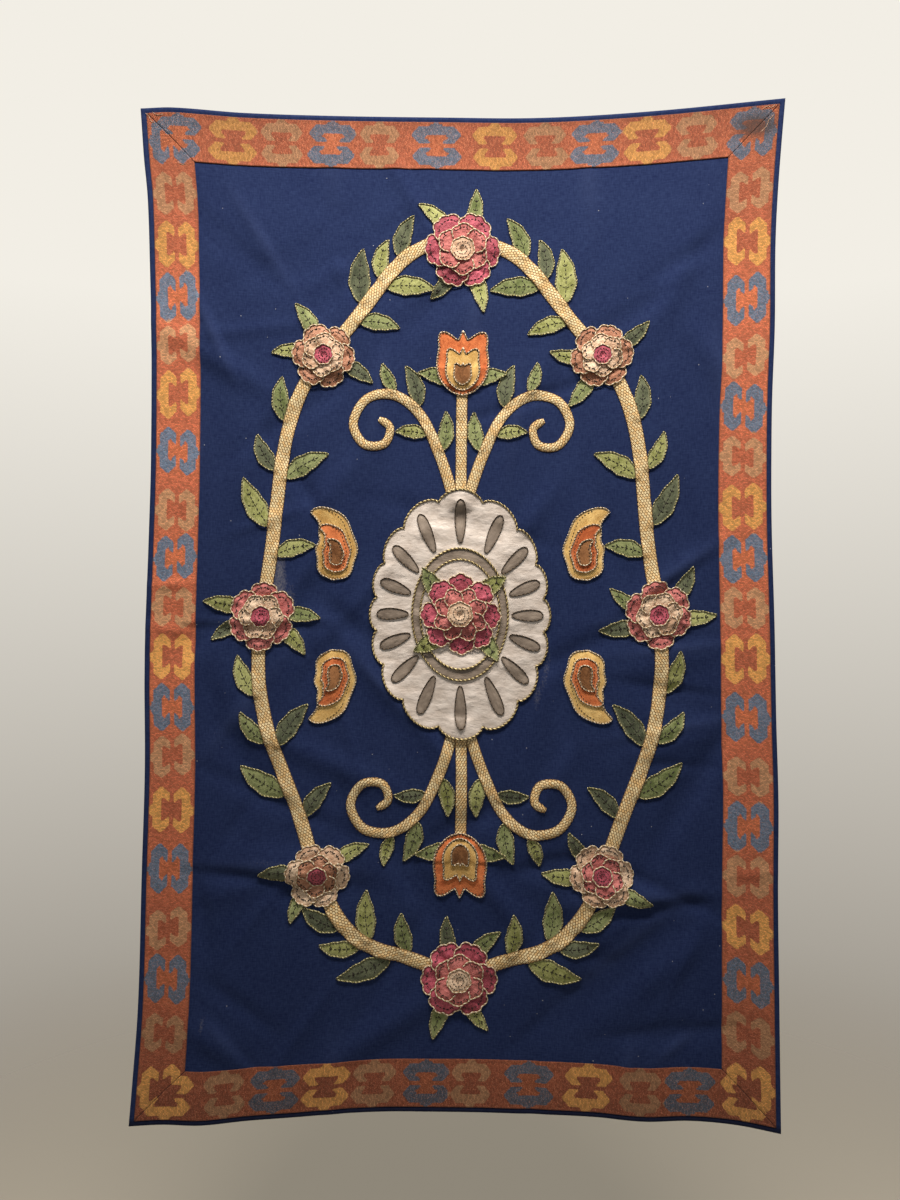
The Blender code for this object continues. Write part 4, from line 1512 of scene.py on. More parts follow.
@dataclass(frozen=True)
class LeafCut:
    """How a leaf is cut and bent."""

    length: float
    width: float
    bend: float
    lead: float = 0.8
    roundness: float = 0.85
    onset: float = 1.0
    ripple: float = 0.06
    waves: float = 3.3

    def patch(self, base: Array, direction: float, rows: int = 18, columns: int = 8) -> Patch:
        """Lays out the leaf.

        Args:
            base: its foot.
            direction: where it points, in degrees clockwise from straight up.
            rows: how many cells it has along it.
            columns: how many across.

        Returns:
            The patch.
        """
        share = (np.arange(rows) + 0.5) / rows
        steps = heading(direction + self.bend * share**self.onset) * self.length / rows
        line = np.concatenate([[base], base + np.cumsum(steps, axis=0)])
        way = np.linspace(0, 1, rows + 1)
        widths = self.width * np.maximum(np.sin(math.pi * way**self.lead), 0) ** self.roundness
        widths *= 1 + self.ripple * np.sin(2 * math.pi * self.waves * way)
        return strip(line, np.maximum(widths, 0.8), columns)


@dataclass(frozen=True)
class PetalCut:
    """How a petal is cut: an egg, broad at its far end, with a lobed edge there."""

    length: float
    width: float
    lobes: int = 5
    notch: float = 0.15
    spread: float = 112.0  # how far round from its direction the lobes go, in degrees
    fade: float = 18.0  # over how many degrees they end
    egg: float = 0.15  # how much broader it is at its far end
    spokes: int = 44
    rings: int = 6

    def reach(self, turn: Array) -> Array:
        """Gives how far it reaches from its middle, at an angle in degrees from its direction."""
        turn = np.mod(turn + 180, 360) - 180
        far = np.cos(np.radians(turn))
        half_width = self.width / 2 * (1 + self.egg * far)
        egg = 1 / np.hypot(np.sin(np.radians(turn)) / half_width, far / (self.length / 2))
        lobe = abs(np.cos(turn / self.spread * self.lobes * math.pi / 2)) ** 0.6
        lobed = np.clip((self.spread - abs(turn)) / self.fade, 0, 1)
        return egg * (1 - self.notch * (1 - lobe) * lobed)

    def at(self, base: Array, direction: float, turn: Array | float, share: Array | float) -> Array:
        """Gives points of the petal.

        Args:
            base: its foot.
            direction: where it points, in degrees clockwise from straight up.
            turn: the angle from its direction, seen from its middle, in degrees.
            share: how far out from its middle, as a share of its reach.

        Returns:
            The points.
        """
        middle = base + heading(direction) * self.length / 2
        far = np.asarray(self.reach(np.asarray(turn, float)) * share)
        return middle + heading(direction + turn) * far[..., None]

    def patch(self, base: Array, direction: float) -> Patch:
        """Lays out the petal, with its foot and its direction as above."""
        middle = base + heading(direction) * self.length / 2
        return disc(middle, lambda angle: self.reach(np.degrees(angle) - direction),
                    self.spokes, self.rings)


@dataclass
class Wreath:
    """The oval vine of raffia strips with its felt leaves."""

    centre_down: float = 800.0
    half_width: float = 318.0
    half_height: float = 585.0
    sway: float = 8.0
    vine_width: float = 22.0
    count: int = 8
    radii: Row = (62.0, 52.0, 55.0, 52.0, 62.0, 52.0, 55.0, 52.0)
    tuck: float = 0.74  # the vine's ends reach this far into a blossom, as a share of its radius
    vine_loft: Loft = Loft(0.9, 1.8, 1.7, 1.6)
    leaf_loft: Loft = Loft(0.5, 1.2, 1.1, 1.2)
    # Columns: share of the way up the arc, side (+1 is outside the oval), angle from the vine,
    # length, width, bend. The first two of each arc are the large ones.
    leaves: Rows = (
        (0.28, 1, 48.0, 84.0, 33.0, -26.0), (0.52, -1, 44.0, 76.0, 30.0, 24.0),
        (0.80, 1, 40.0, 66.0, 27.0, -38.0), (0.14, -1, 46.0, 62.0, 26.0, 34.0),
        (0.56, 1, 52.0, 60.0, 25.0, -44.0),
    )
    greens: tuple[str, ...] = ("light", "mid", "dark")
    tucked: float = 3.5  # how far a leaf's foot lies inside the vine's edge
    hidden: float = 5.0  # what the vine hides of a leaf, on top of the length above
    jitter: float = 9.0  # how far a small leaf may point off the row above, in degrees
    clear: float = 1.02  # the leaves' arc ends this far from a blossom, as a share of its radius
    step: float = 3.0  # the distance between the points of its lines
    samples: int = 600  # an arc's points before they are spaced
    groove: Pair = (0.5, 1.8)  # the sewn middle of a leaf: its depth and half its width
    veins: Row = (0.28, 0.46, 0.64)  # where they leave the rib, as shares of it
    vein: Row = (0.08, 0.84)  # its ends, as shares of the way to the leaf's edge
    rib_stitch: Stitch = Stitch(6.0, 1.0, 1.7)
    vein_stitch: Stitch = Stitch(5.2, 0.8, 1.4)
    vine_stitch: Stitch = Stitch(2.8, 3.6, 0.9)
    edging: Cord = Cord(1.05)
    overcast: Overcast = Overcast(4.8, 1.5, 1.0)

    def point(self, angle: Array) -> Array:
        """Gives points of the oval, clockwise from its top, swaying in and out along each arc."""
        side = np.copysign(1.0, np.sin(angle))
        sway = 1 + side * self.sway / self.half_width * np.sin(self.count * angle)
        across = self.half_width * sway * np.sin(angle)
        return np.stack([across, self.centre_down - self.half_height * sway * np.cos(angle)], -1)

    def blossom(self, index: int) -> Array:
        """Gives the middle of a blossom."""
        return self.point(np.array(2 * math.pi * (index % self.count) / self.count))

    def arc(self, index: int, clear: float) -> Array:
        """Gives the middle line of a right-hand arc, upwards.

        Args:
            index: the arc, clockwise from the top.
            clear: how far its ends stay from the blossoms' middles, as a share of their radius.

        Returns:
            Points an even step apart.
        """
        span = 2 * math.pi / self.count
        # Just short of both ends, because the sway changes sides there.
        fine = self.point(span * (index + np.linspace(0.001, 0.999, self.samples)))
        keep = np.ones(len(fine), bool)
        for n in (index, index + 1):
            gap = np.linalg.norm(fine - self.blossom(n), axis=1)
            keep &= gap > self.radii[n % self.count] * clear
        return spaced(fine[keep][::-1], self.step)

    def leaf(self, bench: Bench, patch: Patch, green: str, node: str | None = None) -> None:
        """Sews on a leaf with its edging and its veins.

        Args:
            bench: the bench.
            patch: the leaf.
            green: its colour.
            node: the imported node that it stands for.
        """
        rows, columns = patch.flat.shape[:2]
        depth, half_width = self.groove
        groove = depth * np.exp(-((patch.weave[..., 1] / half_width) ** 2))
        bench.sew(f"leaves_{green}_green", patch, self.leaf_loft, groove, node)
        rib = patch.flat[:, columns // 2]
        bench.run("running_stitch_dark", rib[2:-3], self.rib_stitch)
        for share in self.veins:
            i = int(share * rows)
            for column in (1, -2):
                edge = patch.flat[i + 2, column]
                vein = rib[i] + (edge - rib[i]) * np.array(self.vein)[:, None]
                bench.run("running_stitch_dark", vein, self.vein_stitch)
        bench.cord("leaf_edging_cord", patch.outline, self.edging)
        bench.couch("overcast_thread_dark", patch.outline, self.overcast)

    def leaf_patch(self, line: Array, row: Sequence[float], jitter: float = 0.0) -> Patch:
        """Lays out a leaf beside the vine, its foot tucked under the vine's edge.

        Args:
            line: the vine's middle line.
            row: a row of the leaves' table.
            jitter: how much its direction differs from that row, in degrees.

        Returns:
            The leaf.
        """
        share, side, spread, length, width, bend = row
        k = int(share * (len(line) - 1))
        ahead, _ = facing(line)
        direction = math.degrees(math.atan2(ahead[k, 0], -ahead[k, 1]))
        base = line[k] + heading(direction + 90 * side) * (self.vine_width / 2 - self.tucked)
        cut = LeafCut(length + self.hidden, width, side * bend)
        return cut.patch(base, direction + side * spread + jitter)

    def vine(self, bench: Bench, patch: Patch, node: str) -> None:
        """Sews on a strip of the vine, with the small stitches along its edges."""
        bench.sew("vine_raffia", patch, self.vine_loft, node=node)
        for column in (0, -1):
            bench.run("vine_sewing_thread", patch.flat[:, column], self.vine_stitch)

    def build(self, bench: Bench) -> None:
        """Sews on the leaves and then the vine, the left half mirroring the right."""
        sides = np.repeat([1, -1], self.count // 2)
        for index, side in enumerate(sides):
            line = self.arc(index if side > 0 else self.count - 1 - index, self.clear)
            for k, row in enumerate(self.leaves):
                number = 2 * index + k
                large = k < 2
                green = self.greens[(number if large else index + 2 * k) % 3]
                jitter = 0.0 if large else bench.chance.uniform(-self.jitter, self.jitter)
                patch = self.leaf_patch(line, row, jitter).moved(lambda flat: flat * (side, 1))
                self.leaf(bench, patch, green, f"leaf_{number + 1}" if large else None)
        for index, side in enumerate(sides):
            line = self.arc(index if side > 0 else self.count - 1 - index, self.tuck)
            patch = strip(line * (side, 1), self.vine_width)
            self.vine(bench, patch, f"vine_arc_{index + 1}")


@dataclass(frozen=True)
class Whorl:
    """A ring of petals in a blossom."""

    start: float  # where they start and end, as shares of the blossom's radius
    end: float
    width: float  # as a share of the petals' pitch round the blossom
    lobes: int
    turn: float  # how far they are turned, as a share of that pitch
    loft: Loft


@dataclass
class Blossoms:
    """Eight blossoms of layered petals where the arcs of the vine meet."""

    wreath: Wreath
    outer: tuple[str, ...] = ("rose", "salmon", "pink", "cream", "rose", "cream", "pink", "salmon")
    inner: tuple[str, ...] = ("pink", "cream", "cream", "pink", "pink", "salmon", "cream", "cream")
    centre: tuple[str, ...] = ("cream", "rose", "rose", "rose", "cream", "rose", "rose", "rose")
    petals: int = 6
    whorls: tuple[Whorl, ...] = (
        Whorl(0.18, 1.0, 0.84, 5, 0.0, Loft(0.6, 1.3, 1.6, 1.4)),
        Whorl(0.08, 0.68, 0.56, 3, 0.5, Loft(0.5, 1.1, 1.4, 1.2)),
    )
    turned: float = 4.0  # how far a petal may point off its place, in degrees
    sizes: Pair = (0.96, 1.0)
    heart: tuple[float, float, int] = (0.30, 0.014, 7)  # its reach, its waves' depth, their count
    heart_loft: Loft = Loft(0.5, 1.1, 1.5, 1.0)
    spiral: tuple[float, float, float] = (0.5, 2.7, 0.25)  # its first and last turn, its reach
    curl: float = 0.66  # how far out on a petal the stitched curl runs
    folds: Row = (-0.6, -0.2, 0.2, 0.6)  # where its folds lie, as shares round it
    fold: Row = (0.9, 0.5)  # their ends, as shares of the way out
    cord: Cord = Cord(1.05, 2.4)
    heart_cord: Cord = Cord(1.05, 2.0)
    curl_stitch: Stitch = Stitch(4.8, 1.2, 1.4)
    fold_stitch: Stitch = Stitch(5.0, 0.8, 1.3)
    spiral_stitch: Stitch = Stitch(3.2, 1.2, 1.3)
    # Leaves that peep out from under a blossom: angle from the vine, reach past it, width, bend.
    peeping: Rows = ((66, 44, 25, 22), (-72, 40, 23, -24), (118, 34, 21, 26), (-124, 40, 24, -30))
    foot: float = 0.6  # where these leaves start, as a share of the blossom's radius
    jitter: float = 8.0

    def petal(
        self, bench: Bench, colour: str, base: Array, direction: float, cut: PetalCut, loft: Loft,
        node: str | None = None,
    ) -> None:
        """Sews on one petal with its cord and its stitched lines.

        Args:
            bench: the bench.
            colour: the petal's colour.
            base: its foot.
            direction: where it points, in degrees clockwise from straight up.
            cut: its shape.
            loft: its thickness.
            node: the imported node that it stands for.
        """
        bench.sew(f"petals_{colour}", cut.patch(base, direction), loft, node=node)
        turns = np.linspace(-cut.spread, cut.spread, 60)
        bench.cord("petal_edging_cord", cut.at(base, direction, turns, 1.0), self.cord)
        curl = cut.at(base, direction, turns[12:-12], self.curl)
        bench.run("running_stitch_dark", spaced(curl, 1.0), self.curl_stitch)
        for part in self.folds:
            fold = cut.at(base, direction, part * cut.spread, np.array(self.fold))
            bench.run("running_stitch_dark", fold, self.fold_stitch)

    def blossom(
        self, bench: Bench, middle: Array, radius: float, turn: float, colours: Sequence[str],
        nodes: Sequence[str], petals: int,
    ) -> None:
        """Sews on a whole blossom.

        Args:
            bench: the bench.
            middle: its middle.
            radius: its reach.
            turn: where its first petal points, in degrees.
            colours: of its outer petals, inner petals and centre.
            nodes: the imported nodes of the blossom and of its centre.
            petals: how many outer petals it has.
        """
        width = 2 * math.pi * radius / petals
        for colour, whorl in zip(colours, self.whorls):
            for k in range(petals):
                jitter = bench.chance.uniform(-self.turned, self.turned)
                direction = turn + 360 * (k + whorl.turn) / petals + jitter
                size = bench.chance.uniform(*self.sizes)
                length = radius * (whorl.end - whorl.start) * size
                cut = PetalCut(length, width * whorl.width, whorl.lobes)
                node = nodes[0] if k == 0 and whorl is self.whorls[0] else None
                base = middle + heading(direction) * radius * whorl.start
                self.petal(bench, colour, base, direction, cut, whorl.loft, node)
        reach, wave, waves = self.heart
        heart = disc(middle, lambda angle: radius * (reach + wave * np.cos(waves * angle)), 32, 7)
        bench.sew(f"petals_{colours[2]}", heart, self.heart_loft, node=nodes[1])
        bench.cord("petal_edging_cord", heart.outline, self.heart_cord)
        first, last, out = self.spiral
        turns = np.linspace(first, last, 70)
        spiral = middle + heading(360 * turns) * (radius * out * turns / last)[:, None]
        bench.run("running_stitch_dark", spiral, self.spiral_stitch)

    def build(self, bench: Bench) -> None:
        """Sews on the eight blossoms, each over its peeping leaves."""
        wreath = self.wreath
        nudge = 0.1  # in radians, to both sides, to find the vine's direction at a blossom
        turns = []
        for index in range(wreath.count):
            angle = 2 * math.pi * index / wreath.count
            middle, radius = wreath.blossom(index), wreath.radii[index]
            before, after = (wreath.point(np.array(angle + part * nudge)) for part in (-1, 1))
            step = after - before
            turns.append(math.degrees(math.atan2(step[0], -step[1])))
            side = 1 if index < wreath.count // 2 else -1
            for k, (spread, reach, width, bend) in enumerate(self.peeping):
                if k == 3 and index % 2:
                    continue
                jitter = bench.chance.uniform(-self.jitter, self.jitter)
                direction = turns[-1] + side * spread + jitter
                cut = LeafCut(radius * (1 - self.foot) + reach, width, side * bend)
                patch = cut.patch(middle + heading(direction) * radius * self.foot, direction)
                wreath.leaf(bench, patch, wreath.greens[(index + k) % 3])
        for index, turn in enumerate(turns):
            self.blossom(
                bench, wreath.blossom(index), wreath.radii[index], turn,
                (self.outer[index], self.inner[index], self.centre[index]),
                (f"blossom_{index + 1}", f"blossom_centre_{index + 1}"), self.petals,
            )


@dataclass
class Medallion:
    """The scalloped satin oval with darker flutes, a ring and a rose."""

    blossoms: Blossoms
    centre_down: float = 800.0
    half_width: float = 145.0
    half_height: float = 200.0
    scallops: int = 16
    notch: float = 0.07
    rose_radius: float = 66.0
    rose_petals: int = 8
    loft: Loft = Loft(0.7, 1.7, 1.0, 1.6)
    inlay: Loft = Loft(0.2, 0.5, 0.3, 0.8)
    flute_ends: Pair = (0.57, 0.92)  # as shares of the plain oval's reach
    flute_width: float = 22.0
    flute_taper: Pair = (0.55, 1.05)  # what the width is multiplied by at its two ends
    rings: tuple[tuple[str, float], ...] = (("flutes_dark_satin", 0.53), ("medallion_satin", 0.44))
    leaf: LeafCut = LeafCut(56.0, 27.0, 20.0)
    leaf_foot: float = 40.0
    gold: Cord = Cord(1.4, 1.7, 8, 0.24, 5.2)
    gold_sewing: Overcast = Overcast(7.0, 2.2, 0.7, 1.2)
    flute_cord: Cord = Cord(0.85, 2.4)
    # Pressed creases, with the columns of ridges().
    creases: Rows = (
        (-60, 668, 6, 60, 5, 0.8), (20, 690, -4, 90, 5, -0.7), (-20, 733, 3, 110, 5, 0.7),
        (70, 742, -8, 60, 5, -0.7), (-90, 800, -6, 50, 5, 0.8), (96, 812, 8, 50, 5, 0.8),
        (-40, 866, 5, 90, 5, -0.8), (50, 880, -5, 80, 5, 0.8), (-30, 930, -3, 80, 5, 0.8),
        (30, 955, 6, 60, 5, -0.7), (-100, 740, 78, 40, 6, 0.6), (104, 870, 102, 44, 6, 0.6),
    )

    def oval(self, angle: Array) -> Array:
        """Gives the reach of the plain oval at an angle in radians."""
        return 1 / np.hypot(np.sin(angle) / self.half_width, np.cos(angle) / self.half_height)

    def reach(self, angle: Array) -> Array:
        """Gives the reach of the scalloped edge at an angle in radians."""
        scallop = abs(np.cos(self.scallops * angle / 2)) ** 0.6
        return (1 - self.notch + self.notch * scallop) * self.oval(angle)

    def gilt(self, bench: Bench, path: Array) -> None:
        """Couches the gold cord along a path."""
        bench.cord("gold_cord", path, self.gold)
        bench.couch("vine_sewing_thread", path, self.gold_sewing)

    def build(self, bench: Bench) -> None:
        """Sews on the oval, its flutes, its ring and its rose."""
        middle = np.array([0.0, self.centre_down])
        base = disc(middle, self.reach, 14 * self.scallops, 46)
        dent = -ridges(self.creases, base.flat[..., 0], base.flat[..., 1])
        bench.sew("medallion_satin", base, self.loft, dent, "medallion")
        self.gilt(bench, base.outline)
        for k in range(self.scallops):
            angle = 2 * math.pi * k / self.scallops
            way = heading(math.degrees(angle)) * float(self.oval(np.array(angle)))
            line = spaced(np.stack([middle + way * end for end in self.flute_ends]), 2.5)
            share = np.linspace(0, 1, len(line))
            round_ends = np.maximum(np.sin(math.pi * share**0.9), 0) ** 0.4
            widths = self.flute_width * round_ends * np.interp(share, (0, 1), self.flute_taper)
            flute = strip(line, np.maximum(widths, 1.5), 8)
            bench.sew("flutes_dark_satin", flute, self.inlay)
            bench.cord("flute_edging_cord", flute.outline, self.flute_cord)
        for name, share in self.rings:
            ring = disc(middle, lambda angle: self.oval(angle) * share, 96, 14)
            bench.sew(name, ring, self.inlay)
            self.gilt(bench, ring.outline)
        for k in range(4):
            direction = 45 + 90 * k
            patch = self.leaf.patch(middle + heading(direction) * self.leaf_foot, direction)
            self.blossoms.wreath.leaf(bench, patch, "mid" if k % 2 else "light")
        self.blossoms.blossom(
            bench, middle, self.rose_radius, 0.0, ("rose", "pink", "cream"),
            ("medallion_rose", "medallion_eye"), self.rose_petals,
        )


@dataclass
class FeltLayers:
    """Felts of three colours sewn on each other, each with its cord and its stitches."""

    colours: tuple[str, ...] = ("yellow", "orange", "brown")
    loft: Loft = Loft(0.6, 1.4, 1.1, 1.2)
    thin: Loft = Loft(0.4, 0.9, 0.5, 0.9)
    stitch: Stitch = Stitch(3.8, 2.0, 1.3)
    cord: Cord = Cord(1.05)
    overcast: Overcast = Overcast(4.6, 1.5, 0.9)

    def sew(self, bench: Bench, patches: Sequence[Patch], node: str) -> None:
        """Sews on the layers, from the lowest.

        Args:
            bench: the bench.
            patches: the layers.
            node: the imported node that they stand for.
        """
        for k, (colour, patch) in enumerate(zip(self.colours, patches)):
            loft = self.thin if k else self.loft
            bench.sew(f"felt_{colour}", patch, loft, node=None if k else node)
            lines = (patch.flat[:, -3],) if patch.wraps else (patch.flat[3:-4, 3],
                                                              patch.flat[3:-4, -4])
            for line in lines:
                bench.run("running_stitch_dark", spaced(line, 1.0), self.stitch)
            bench.cord("petal_edging_cord", patch.outline, self.cord)
            bench.couch("overcast_thread_dark", patch.outline, self.overcast)


@dataclass
class Sprays:
    """Above and below the medallion: a stalk, a flower cup, two scrolls and their leaves."""

    wreath: Wreath
    layers: FeltLayers = field(default_factory=lambda: FeltLayers(("orange", "yellow", "brown")))
    stalk_width: float = 18.0
    stalk_ends: Pair = (180.0, 356.0)
    cup_distance: float = 400.0
    # Half of the cup's outline. Columns: angle from straight up in degrees, reach.
    cup: Rows = (
        (0.0, 55.0), (11.25, 41.0), (33.75, 63.0), (56.25, 47.0), (90.0, 42.0), (135.0, 44.0),
        (180.0, 49.0),
    )
    cup_layers: Rows = ((1.0, 0.0), (0.66, 9.0), (0.34, 16.0))  # size and drop of each
    # The two leaves under a cup: angle from straight up, length, width, bend. Their feet lie below
    # the cup's middle and out along the leaf.
    cup_leaf: Row = (62.0, 64.0, 25.0, 30.0)
    cup_leaf_foot: Pair = (34.0, 12.0)
    # The scroll's middle line, as (across, up from the medallion's middle).
    scroll: Rows = (
        (8, 172), (21, 216), (38, 262), (66, 318), (108, 350), (154, 344), (176, 306), (158, 272),
        (126, 272), (116, 298), (134, 312),
    )
    scroll_widths: tuple[float, float, float] = (19.0, 13.0, 8.0)
    # Columns: share of the way along the scroll, side, angle, length, width, bend.
    leaves: Rows = (
        (0.22, -1, 40, 58, 24, -26), (0.40, -1, 46, 64, 26, -34), (0.30, 1, 44, 46, 21, 30),
        (0.50, -1, 40, 44, 20, 30),
    )
    jitter: float = 6.0

    def build(self, bench: Bench) -> None:
        """Sews on both sprays."""
        down, wreath = self.wreath.centre_down, self.wreath
        line = smooth_through([(x, down - up) for x, up in self.scroll], wreath.step)
        first, last, tip = self.scroll_widths
        widths = np.linspace(first, last, len(line))
        widths[-4:] = np.linspace(widths[-5], tip, 4)
        for part, name in ((1, "upper"), (-1, "lower")):
            for side, hand in ((1, "right"), (-1, "left")):
                change = mirrored(side, part, down)
                for k, row in enumerate(self.leaves):
                    jitter = bench.chance.uniform(-self.jitter, self.jitter)
                    patch = wreath.leaf_patch(line, row, jitter)
                    wreath.leaf(bench, patch.moved(change), wreath.greens[(k + (part > 0)) % 3])
                wreath.vine(bench, strip(line, widths).moved(change), f"scroll_{name}_{hand}")
            change = mirrored(1, part, down)
            stalk = spaced(np.array([(0.0, down - up) for up in self.stalk_ends]), wreath.step)
            wreath.vine(bench, strip(stalk, self.stalk_width).moved(change), f"stalk_{name}")
            self.flower_cup(bench, np.array([0.0, down - self.cup_distance]), change,
                            f"flower_cup_{name}")

    def flower_cup(self, bench: Bench, middle: Array, change: Change, node: str) -> None:
        """Sews on a flower cup with two leaves.

        Args:
            bench: the bench.
            middle: its middle, on the upper spray.
            change: puts it in its place.
            node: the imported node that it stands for.
        """
        spread, length, width, bend = self.cup_leaf
        below, out = self.cup_leaf_foot
        for side in (-1, 1):
            base = middle + (0.0, below) + heading(spread * side) * out
            patch = LeafCut(length, width, bend * side).patch(base, spread * side)
            self.wreath.leaf(bench, patch.moved(change), "mid")

        def reach(angle: Array) -> Array:
            """Gives the reach of the cup at an angle in radians."""
            return eased(self.cup, abs(np.mod(np.degrees(angle) + 180, 360) - 180))

        patches = [
            disc(middle + (0.0, drop), lambda angle: reach(angle) * size, 96, 10).moved(change)
            for size, drop in self.cup_layers
        ]
        self.layers.sew(bench, patches, node)


@dataclass
class Teardrops:
    """Four felt teardrops with a curled tip, each with two smaller ones sewn on it."""

    layers: FeltLayers = field(default_factory=FeltLayers)
    centre_down: float = 800.0
    at: Pair = (206.0, 122.0)
    length: float = 132.0
    width: float = 64.0
    curl: float = 105.0
    lean: float = 10.0
    sizes: Row = (1.0, 0.66, 0.36)
    rise: float = 0.28  # how far a smaller one is moved up, as a share of the length it lacks

    def cut(self, size: float) -> Patch:
        """Lays out the upper right teardrop, or a smaller one on it."""
        across, up = self.at
        start = np.array([across, self.centre_down - up + self.length / 2])
        start = start + heading(-self.lean) * self.length * (1 - size) * self.rise
        shape = LeafCut(self.length * size, self.width * size, self.curl, lead=0.6, roundness=0.7,
                        onset=2.5)
        return shape.patch(start, -self.lean, 26, 12)

    def build(self, bench: Bench) -> None:
        """Sews on the four teardrops."""
        for number, (side, part) in enumerate(((1, 1), (1, -1), (-1, -1), (-1, 1))):
            change = mirrored(side, part, self.centre_down)
            patches = [self.cut(size).moved(change) for size in self.sizes]
            self.layers.sew(bench, patches, f"teardrop_{number + 1}")


@dataclass
class LooseThreads:
    """A few frayed ends of thread at the top corners of the border."""

    paths: tuple[Rows, ...] = (
        ((-497, 9), (-492, 14), (-489, 22), (-484, 25)), ((-486, 8), (-480, 13), (-470, 12)),
        ((470, 50), (478, 42), (481, 33), (488, 26)), ((489, 10), (483, 14), (478, 11), (470, 15)),
        ((-452, 86), (-446, 91), (-439, 90)),
    )
    cord: Cord = Cord(0.5, 2.0, 4)

    def build(self, bench: Bench) -> None:
        """Lays the ends on the border."""
        for path in self.paths:
            bench.cord("loose_threads", smooth_through(path, self.cord.step), self.cord)


@dataclass(frozen=True)
class Lamp:
    """A soft area light, turned to the hanging."""

    name: str
    place: tuple[float, float, float]
    size: Pair
    power: float  # in watts
    beam: float  # the angle of its beam, in degrees
    colour: str
    target: tuple[float, float, float] = (0.0, 0.0, -0.6)

    def build(self) -> None:
        """Adds the light."""
        data = bpy.data.lights.new(self.name, "AREA")
        data.shape, data.size, data.size_y = "RECTANGLE", *self.size
        data.energy, data.spread = self.power, math.radians(self.beam)
        data.color = linear(self.colour)[:3]
        lamp = bpy.data.objects.new(self.name, data)
        lamp.location = self.place
        way = Vector(self.target) - Vector(self.place)
        lamp.rotation_euler = way.to_track_quat("-Z", "Y").to_euler()
        lamp.visible_camera = False
        bpy.context.scene.collection.objects.link(lamp)


@dataclass
class Studio:
    """A pale floor, soft lights from above and a camera straight in front."""

    centre: Pair = (-0.0155, -0.754)
    view_height: float = 1.866
    lens: float = 28.0
    sensor: float = 36.0
    cloth_depth: float = 0.008
    floor_height: float = -1.95
    floor_reach: float = 2.2
    floor_fade: float = 0.5  # how far out the floor starts to fade
    floor_sides: int = 64
    floor_colour: str = "#B9B2A5"
    lamps: tuple[Lamp, ...] = (
        Lamp("key", (0.04, -0.76, 0.78), (1.5, 0.2), 14.2, 100.0, "#FFF4E6"),
        Lamp("fill", (0.0, -1.6, -0.2), (1.6, 0.3), 0.4, 76.0, "#FFFFFF"),
    )
    # The surroundings: their colours below and above, and how dim they are in front of the cloth.
    low: str = "#7B7265"
    high: str = "#F2EEE5"
    dim: float = 0.18
    # Where these change, as the part of a direction that points up, and the part that points back.
    horizon: Pair = (-0.57, 0.3)
    front: Pair = (-0.5, 0.35)

    def camera(self) -> None:
        """Adds the camera, level with the middle of the picture and square to the cloth."""
        data = bpy.data.cameras.new("camera")
        data.lens, data.sensor_width = self.lens, self.sensor
        camera = bpy.data.objects.new("camera", data)
        distance = self.view_height * self.lens / self.sensor + self.cloth_depth
        camera.location = (self.centre[0], -distance, self.centre[1])
        camera.rotation_euler = (math.pi / 2, 0.0, 0.0)
        bpy.context.scene.collection.objects.link(camera)
        bpy.context.scene.camera = camera

    def surroundings(self) -> None:
        """Lights the surroundings: paler above, a warm grey below, dimmer in front of the cloth."""
        world = bpy.data.worlds.new("studio")
        bpy.context.scene.world = world
        world.use_nodes = True
        tree = world.node_tree
        way = add(tree, "SeparateXYZ", {0: add(tree, "TexCoord").outputs["Generated"]})
        colour = shade(tree, way.outputs[2], *self.horizon, self.low, self.high)
        near, far = self.front
        strength = add(tree, "MapRange", {"Value": way.outputs[1], "From Min": near,
                                          "From Max": far, "To Min": self.dim},
                       interpolation_type="SMOOTHSTEP")
        background = tree.nodes["Background"]
        tree.links.new(colour.outputs[2], background.inputs["Color"])
        tree.links.new(strength.outputs[0], background.inputs["Strength"])

    def floor(self) -> None:
        """Adds a round pale floor that fades out towards its rim."""
        data = bpy.data.meshes.new("floor")
        sides, reach = self.floor_sides, self.floor_reach
        turn = [2 * math.pi * k / sides for k in range(sides)]
        rim = [(reach * math.cos(a), reach * math.sin(a), self.floor_height) for a in turn]
        data.from_pydata(rim, [], [list(range(sides))])
        floor = bpy.data.objects.new("floor", data)
        bpy.context.scene.collection.objects.link(floor)
        paint = bpy.data.materials.new("floor_paint")
        paint.use_nodes = True
        tree = paint.node_tree
        shader = tree.nodes["Principled BSDF"]
        shader.inputs["Base Color"].default_value = linear(self.floor_colour)
        shader.inputs["Roughness"].default_value = 0.9
        place = add(tree, "TexCoord").outputs["Object"]
        level = add(tree, "VectorMath", {0: place, 1: (1.0, 1.0, 0.0)}, operation="MULTIPLY")
        far = add(tree, "VectorMath", {0: level}, operation="LENGTH")
        fade = add(tree, "MapRange",
                   {"Value": far.outputs["Value"], "From Min": self.floor_fade, "From Max": reach},
                   interpolation_type="SMOOTHSTEP")
        gone = add(tree, "BsdfTransparent")
        both = add(tree, "MixShader", {0: fade, 1: shader, 2: gone})
        tree.links.new(both.outputs[0], tree.nodes["Material Output"].inputs["Surface"])
        data.materials.append(paint)

    def build(self) -> None:
        """Sets up the whole studio."""
        bpy.context.scene.view_settings.view_transform = "Standard"
        self.camera()
        self.surroundings()
        self.floor()
        for lamp in self.lamps:
            lamp.build()


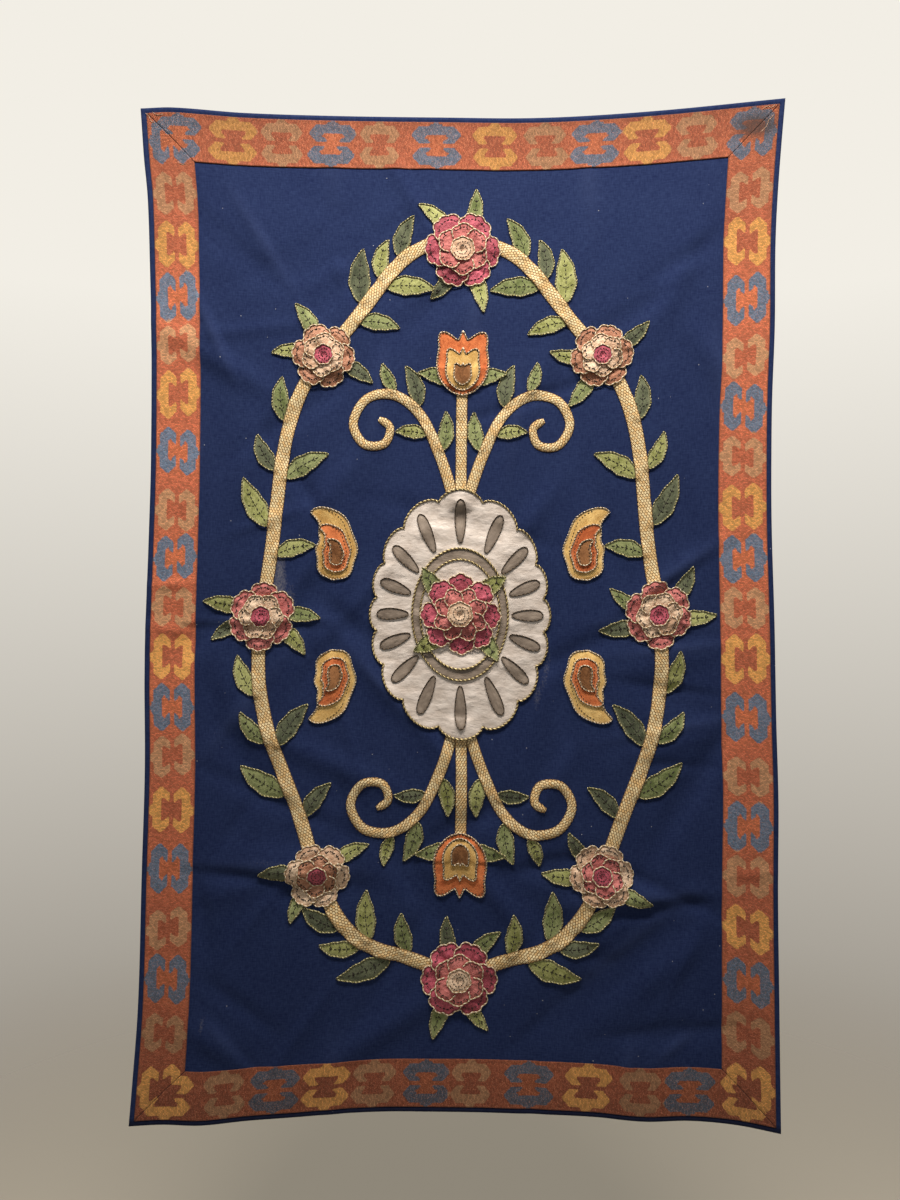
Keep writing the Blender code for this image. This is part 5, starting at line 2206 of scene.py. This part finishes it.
def open_pieces(bench: Bench) -> None:
    """Opens the joined pieces, one for each finish."""
    cotton = PlainWeave("navy_cotton_plain_weave", "#303F69", "#17224A")
    bench.start("ground_cloth_navy", cotton, "navy_cotton")
    felts = (
        ("leaves", "light_green", "#BBBF80", "#82874D", "#DBDBAE", "light_green"),
        ("leaves", "mid_green", "#A0A976", "#647044", "#C7CB9E", "mid_green"),
        ("leaves", "dark_green", "#767D64", "#454C3C", "#A9AB88", "dark_green"),
        ("felt", "orange", "#EE8E58", "#B95F36", "#F2B183", "orange_felt"),
        ("felt", "yellow", "#F6D28A", "#CBA05C", "#F9E3B4", "yellow_felt"),
        ("felt", "brown", "#A6744C", "#6F482A", "#C49A70", "orange_felt"),
    )
    for kind, colour, body, dark, rim, slot in felts:
        finish = Felt(f"milled_wool_felt_{colour}", body, dark, rim=rim)
        bench.start(f"{kind}_{colour}", finish, slot)
    bench.start("vine_raffia", StrawMesh("raffia_mesh", "#FFEFC2", "#94703F"), "straw_mesh")
    # Each satin's second colour is its painted shade in the crumples and at the sewn edge.
    pale = Satin("grey_acetate_satin", "#F1E8E2", "#D6CAC1")
    bench.start("medallion_satin", pale, "grey_satin")
    deep = Satin("dark_acetate_satin", "#A89A8D", "#83766B", roughness=0.45, specular=0.45)
    bench.start("flutes_dark_satin", deep, "grey_satin")
    # Each sateen's second colour serves its mottling and the painted shade at its edge.
    sateens = (
        ("rose", "#D3657B", "#97404F"), ("pink", "#E28B88", "#AE5C5B"),
        ("salmon", "#D6A084", "#A56F55"), ("cream", "#F5DBC0", "#CCA588"),
    )
    for name, body, dark in sateens:
        bench.start(f"petals_{name}", Sateen(f"{name}_cotton_sateen", body, dark), name)
    threads = (
        ("petal_edging_cord", "cream_cotton_cord", "#F3E4CC", "#AE9670", "cream"),
        ("leaf_edging_cord", "olive_cotton_cord", "#D6D0A2", "#88844E", "light_green"),
        ("flute_edging_cord", "brown_silk_cord", "#6A5B4B", "#2C241D", "grey_satin"),
        ("running_stitch_dark", "dark_cotton_floss", "#2B2220", "#151110", "navy_cotton"),
        ("overcast_thread_dark", "dark_sewing_cotton", "#3A3226", "#1C1813", "navy_cotton"),
        ("vine_sewing_thread", "brown_sewing_cotton", "#7D5A36", "#463019", "straw_mesh"),
        ("loose_threads", "frayed_wool_end", "#D9B9A2", "#A67F68", "cream"),
        ("sewing_on_the_back", "grey_sewing_cotton", "#B9B4A8", "#7C786E", "cream"),
    )
    for name, material, body, dark, slot in threads:
        bench.start(name, TwistedThread(material, body, dark), slot)
    gold = TwistedThread("gold_twisted_cord", "#E6D49C", "#4D4124", roughness=0.42, specular=0.5,
                         sheen=0.0, metallic=0.3)
    bench.start("gold_cord", gold, "straw_mesh")


def main() -> None:
    """Builds the hanging piece by piece and sets up the studio round it."""
    logging.basicConfig(level=logging.INFO, format="%(name)s: %(message)s")
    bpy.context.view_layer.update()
    form = HungForm()
    bench = Bench(form, Stack(form))
    open_pieces(bench)
    cloth, border, wreath = GroundCloth(), WovenBorder(), Wreath()
    blossoms = Blossoms(wreath)
    parts = (cloth, border, wreath, blossoms, Sprays(wreath), Medallion(blossoms), Teardrops(),
             LooseThreads())
    for part in parts:
        part.build(bench)
        LOG.info("%s laid out", type(part).__name__)
    cloth.sew_back(bench)
    bench.build()
    Studio().build()
    bpy.context.view_layer.update()


if __name__ == "__main__":
    main()
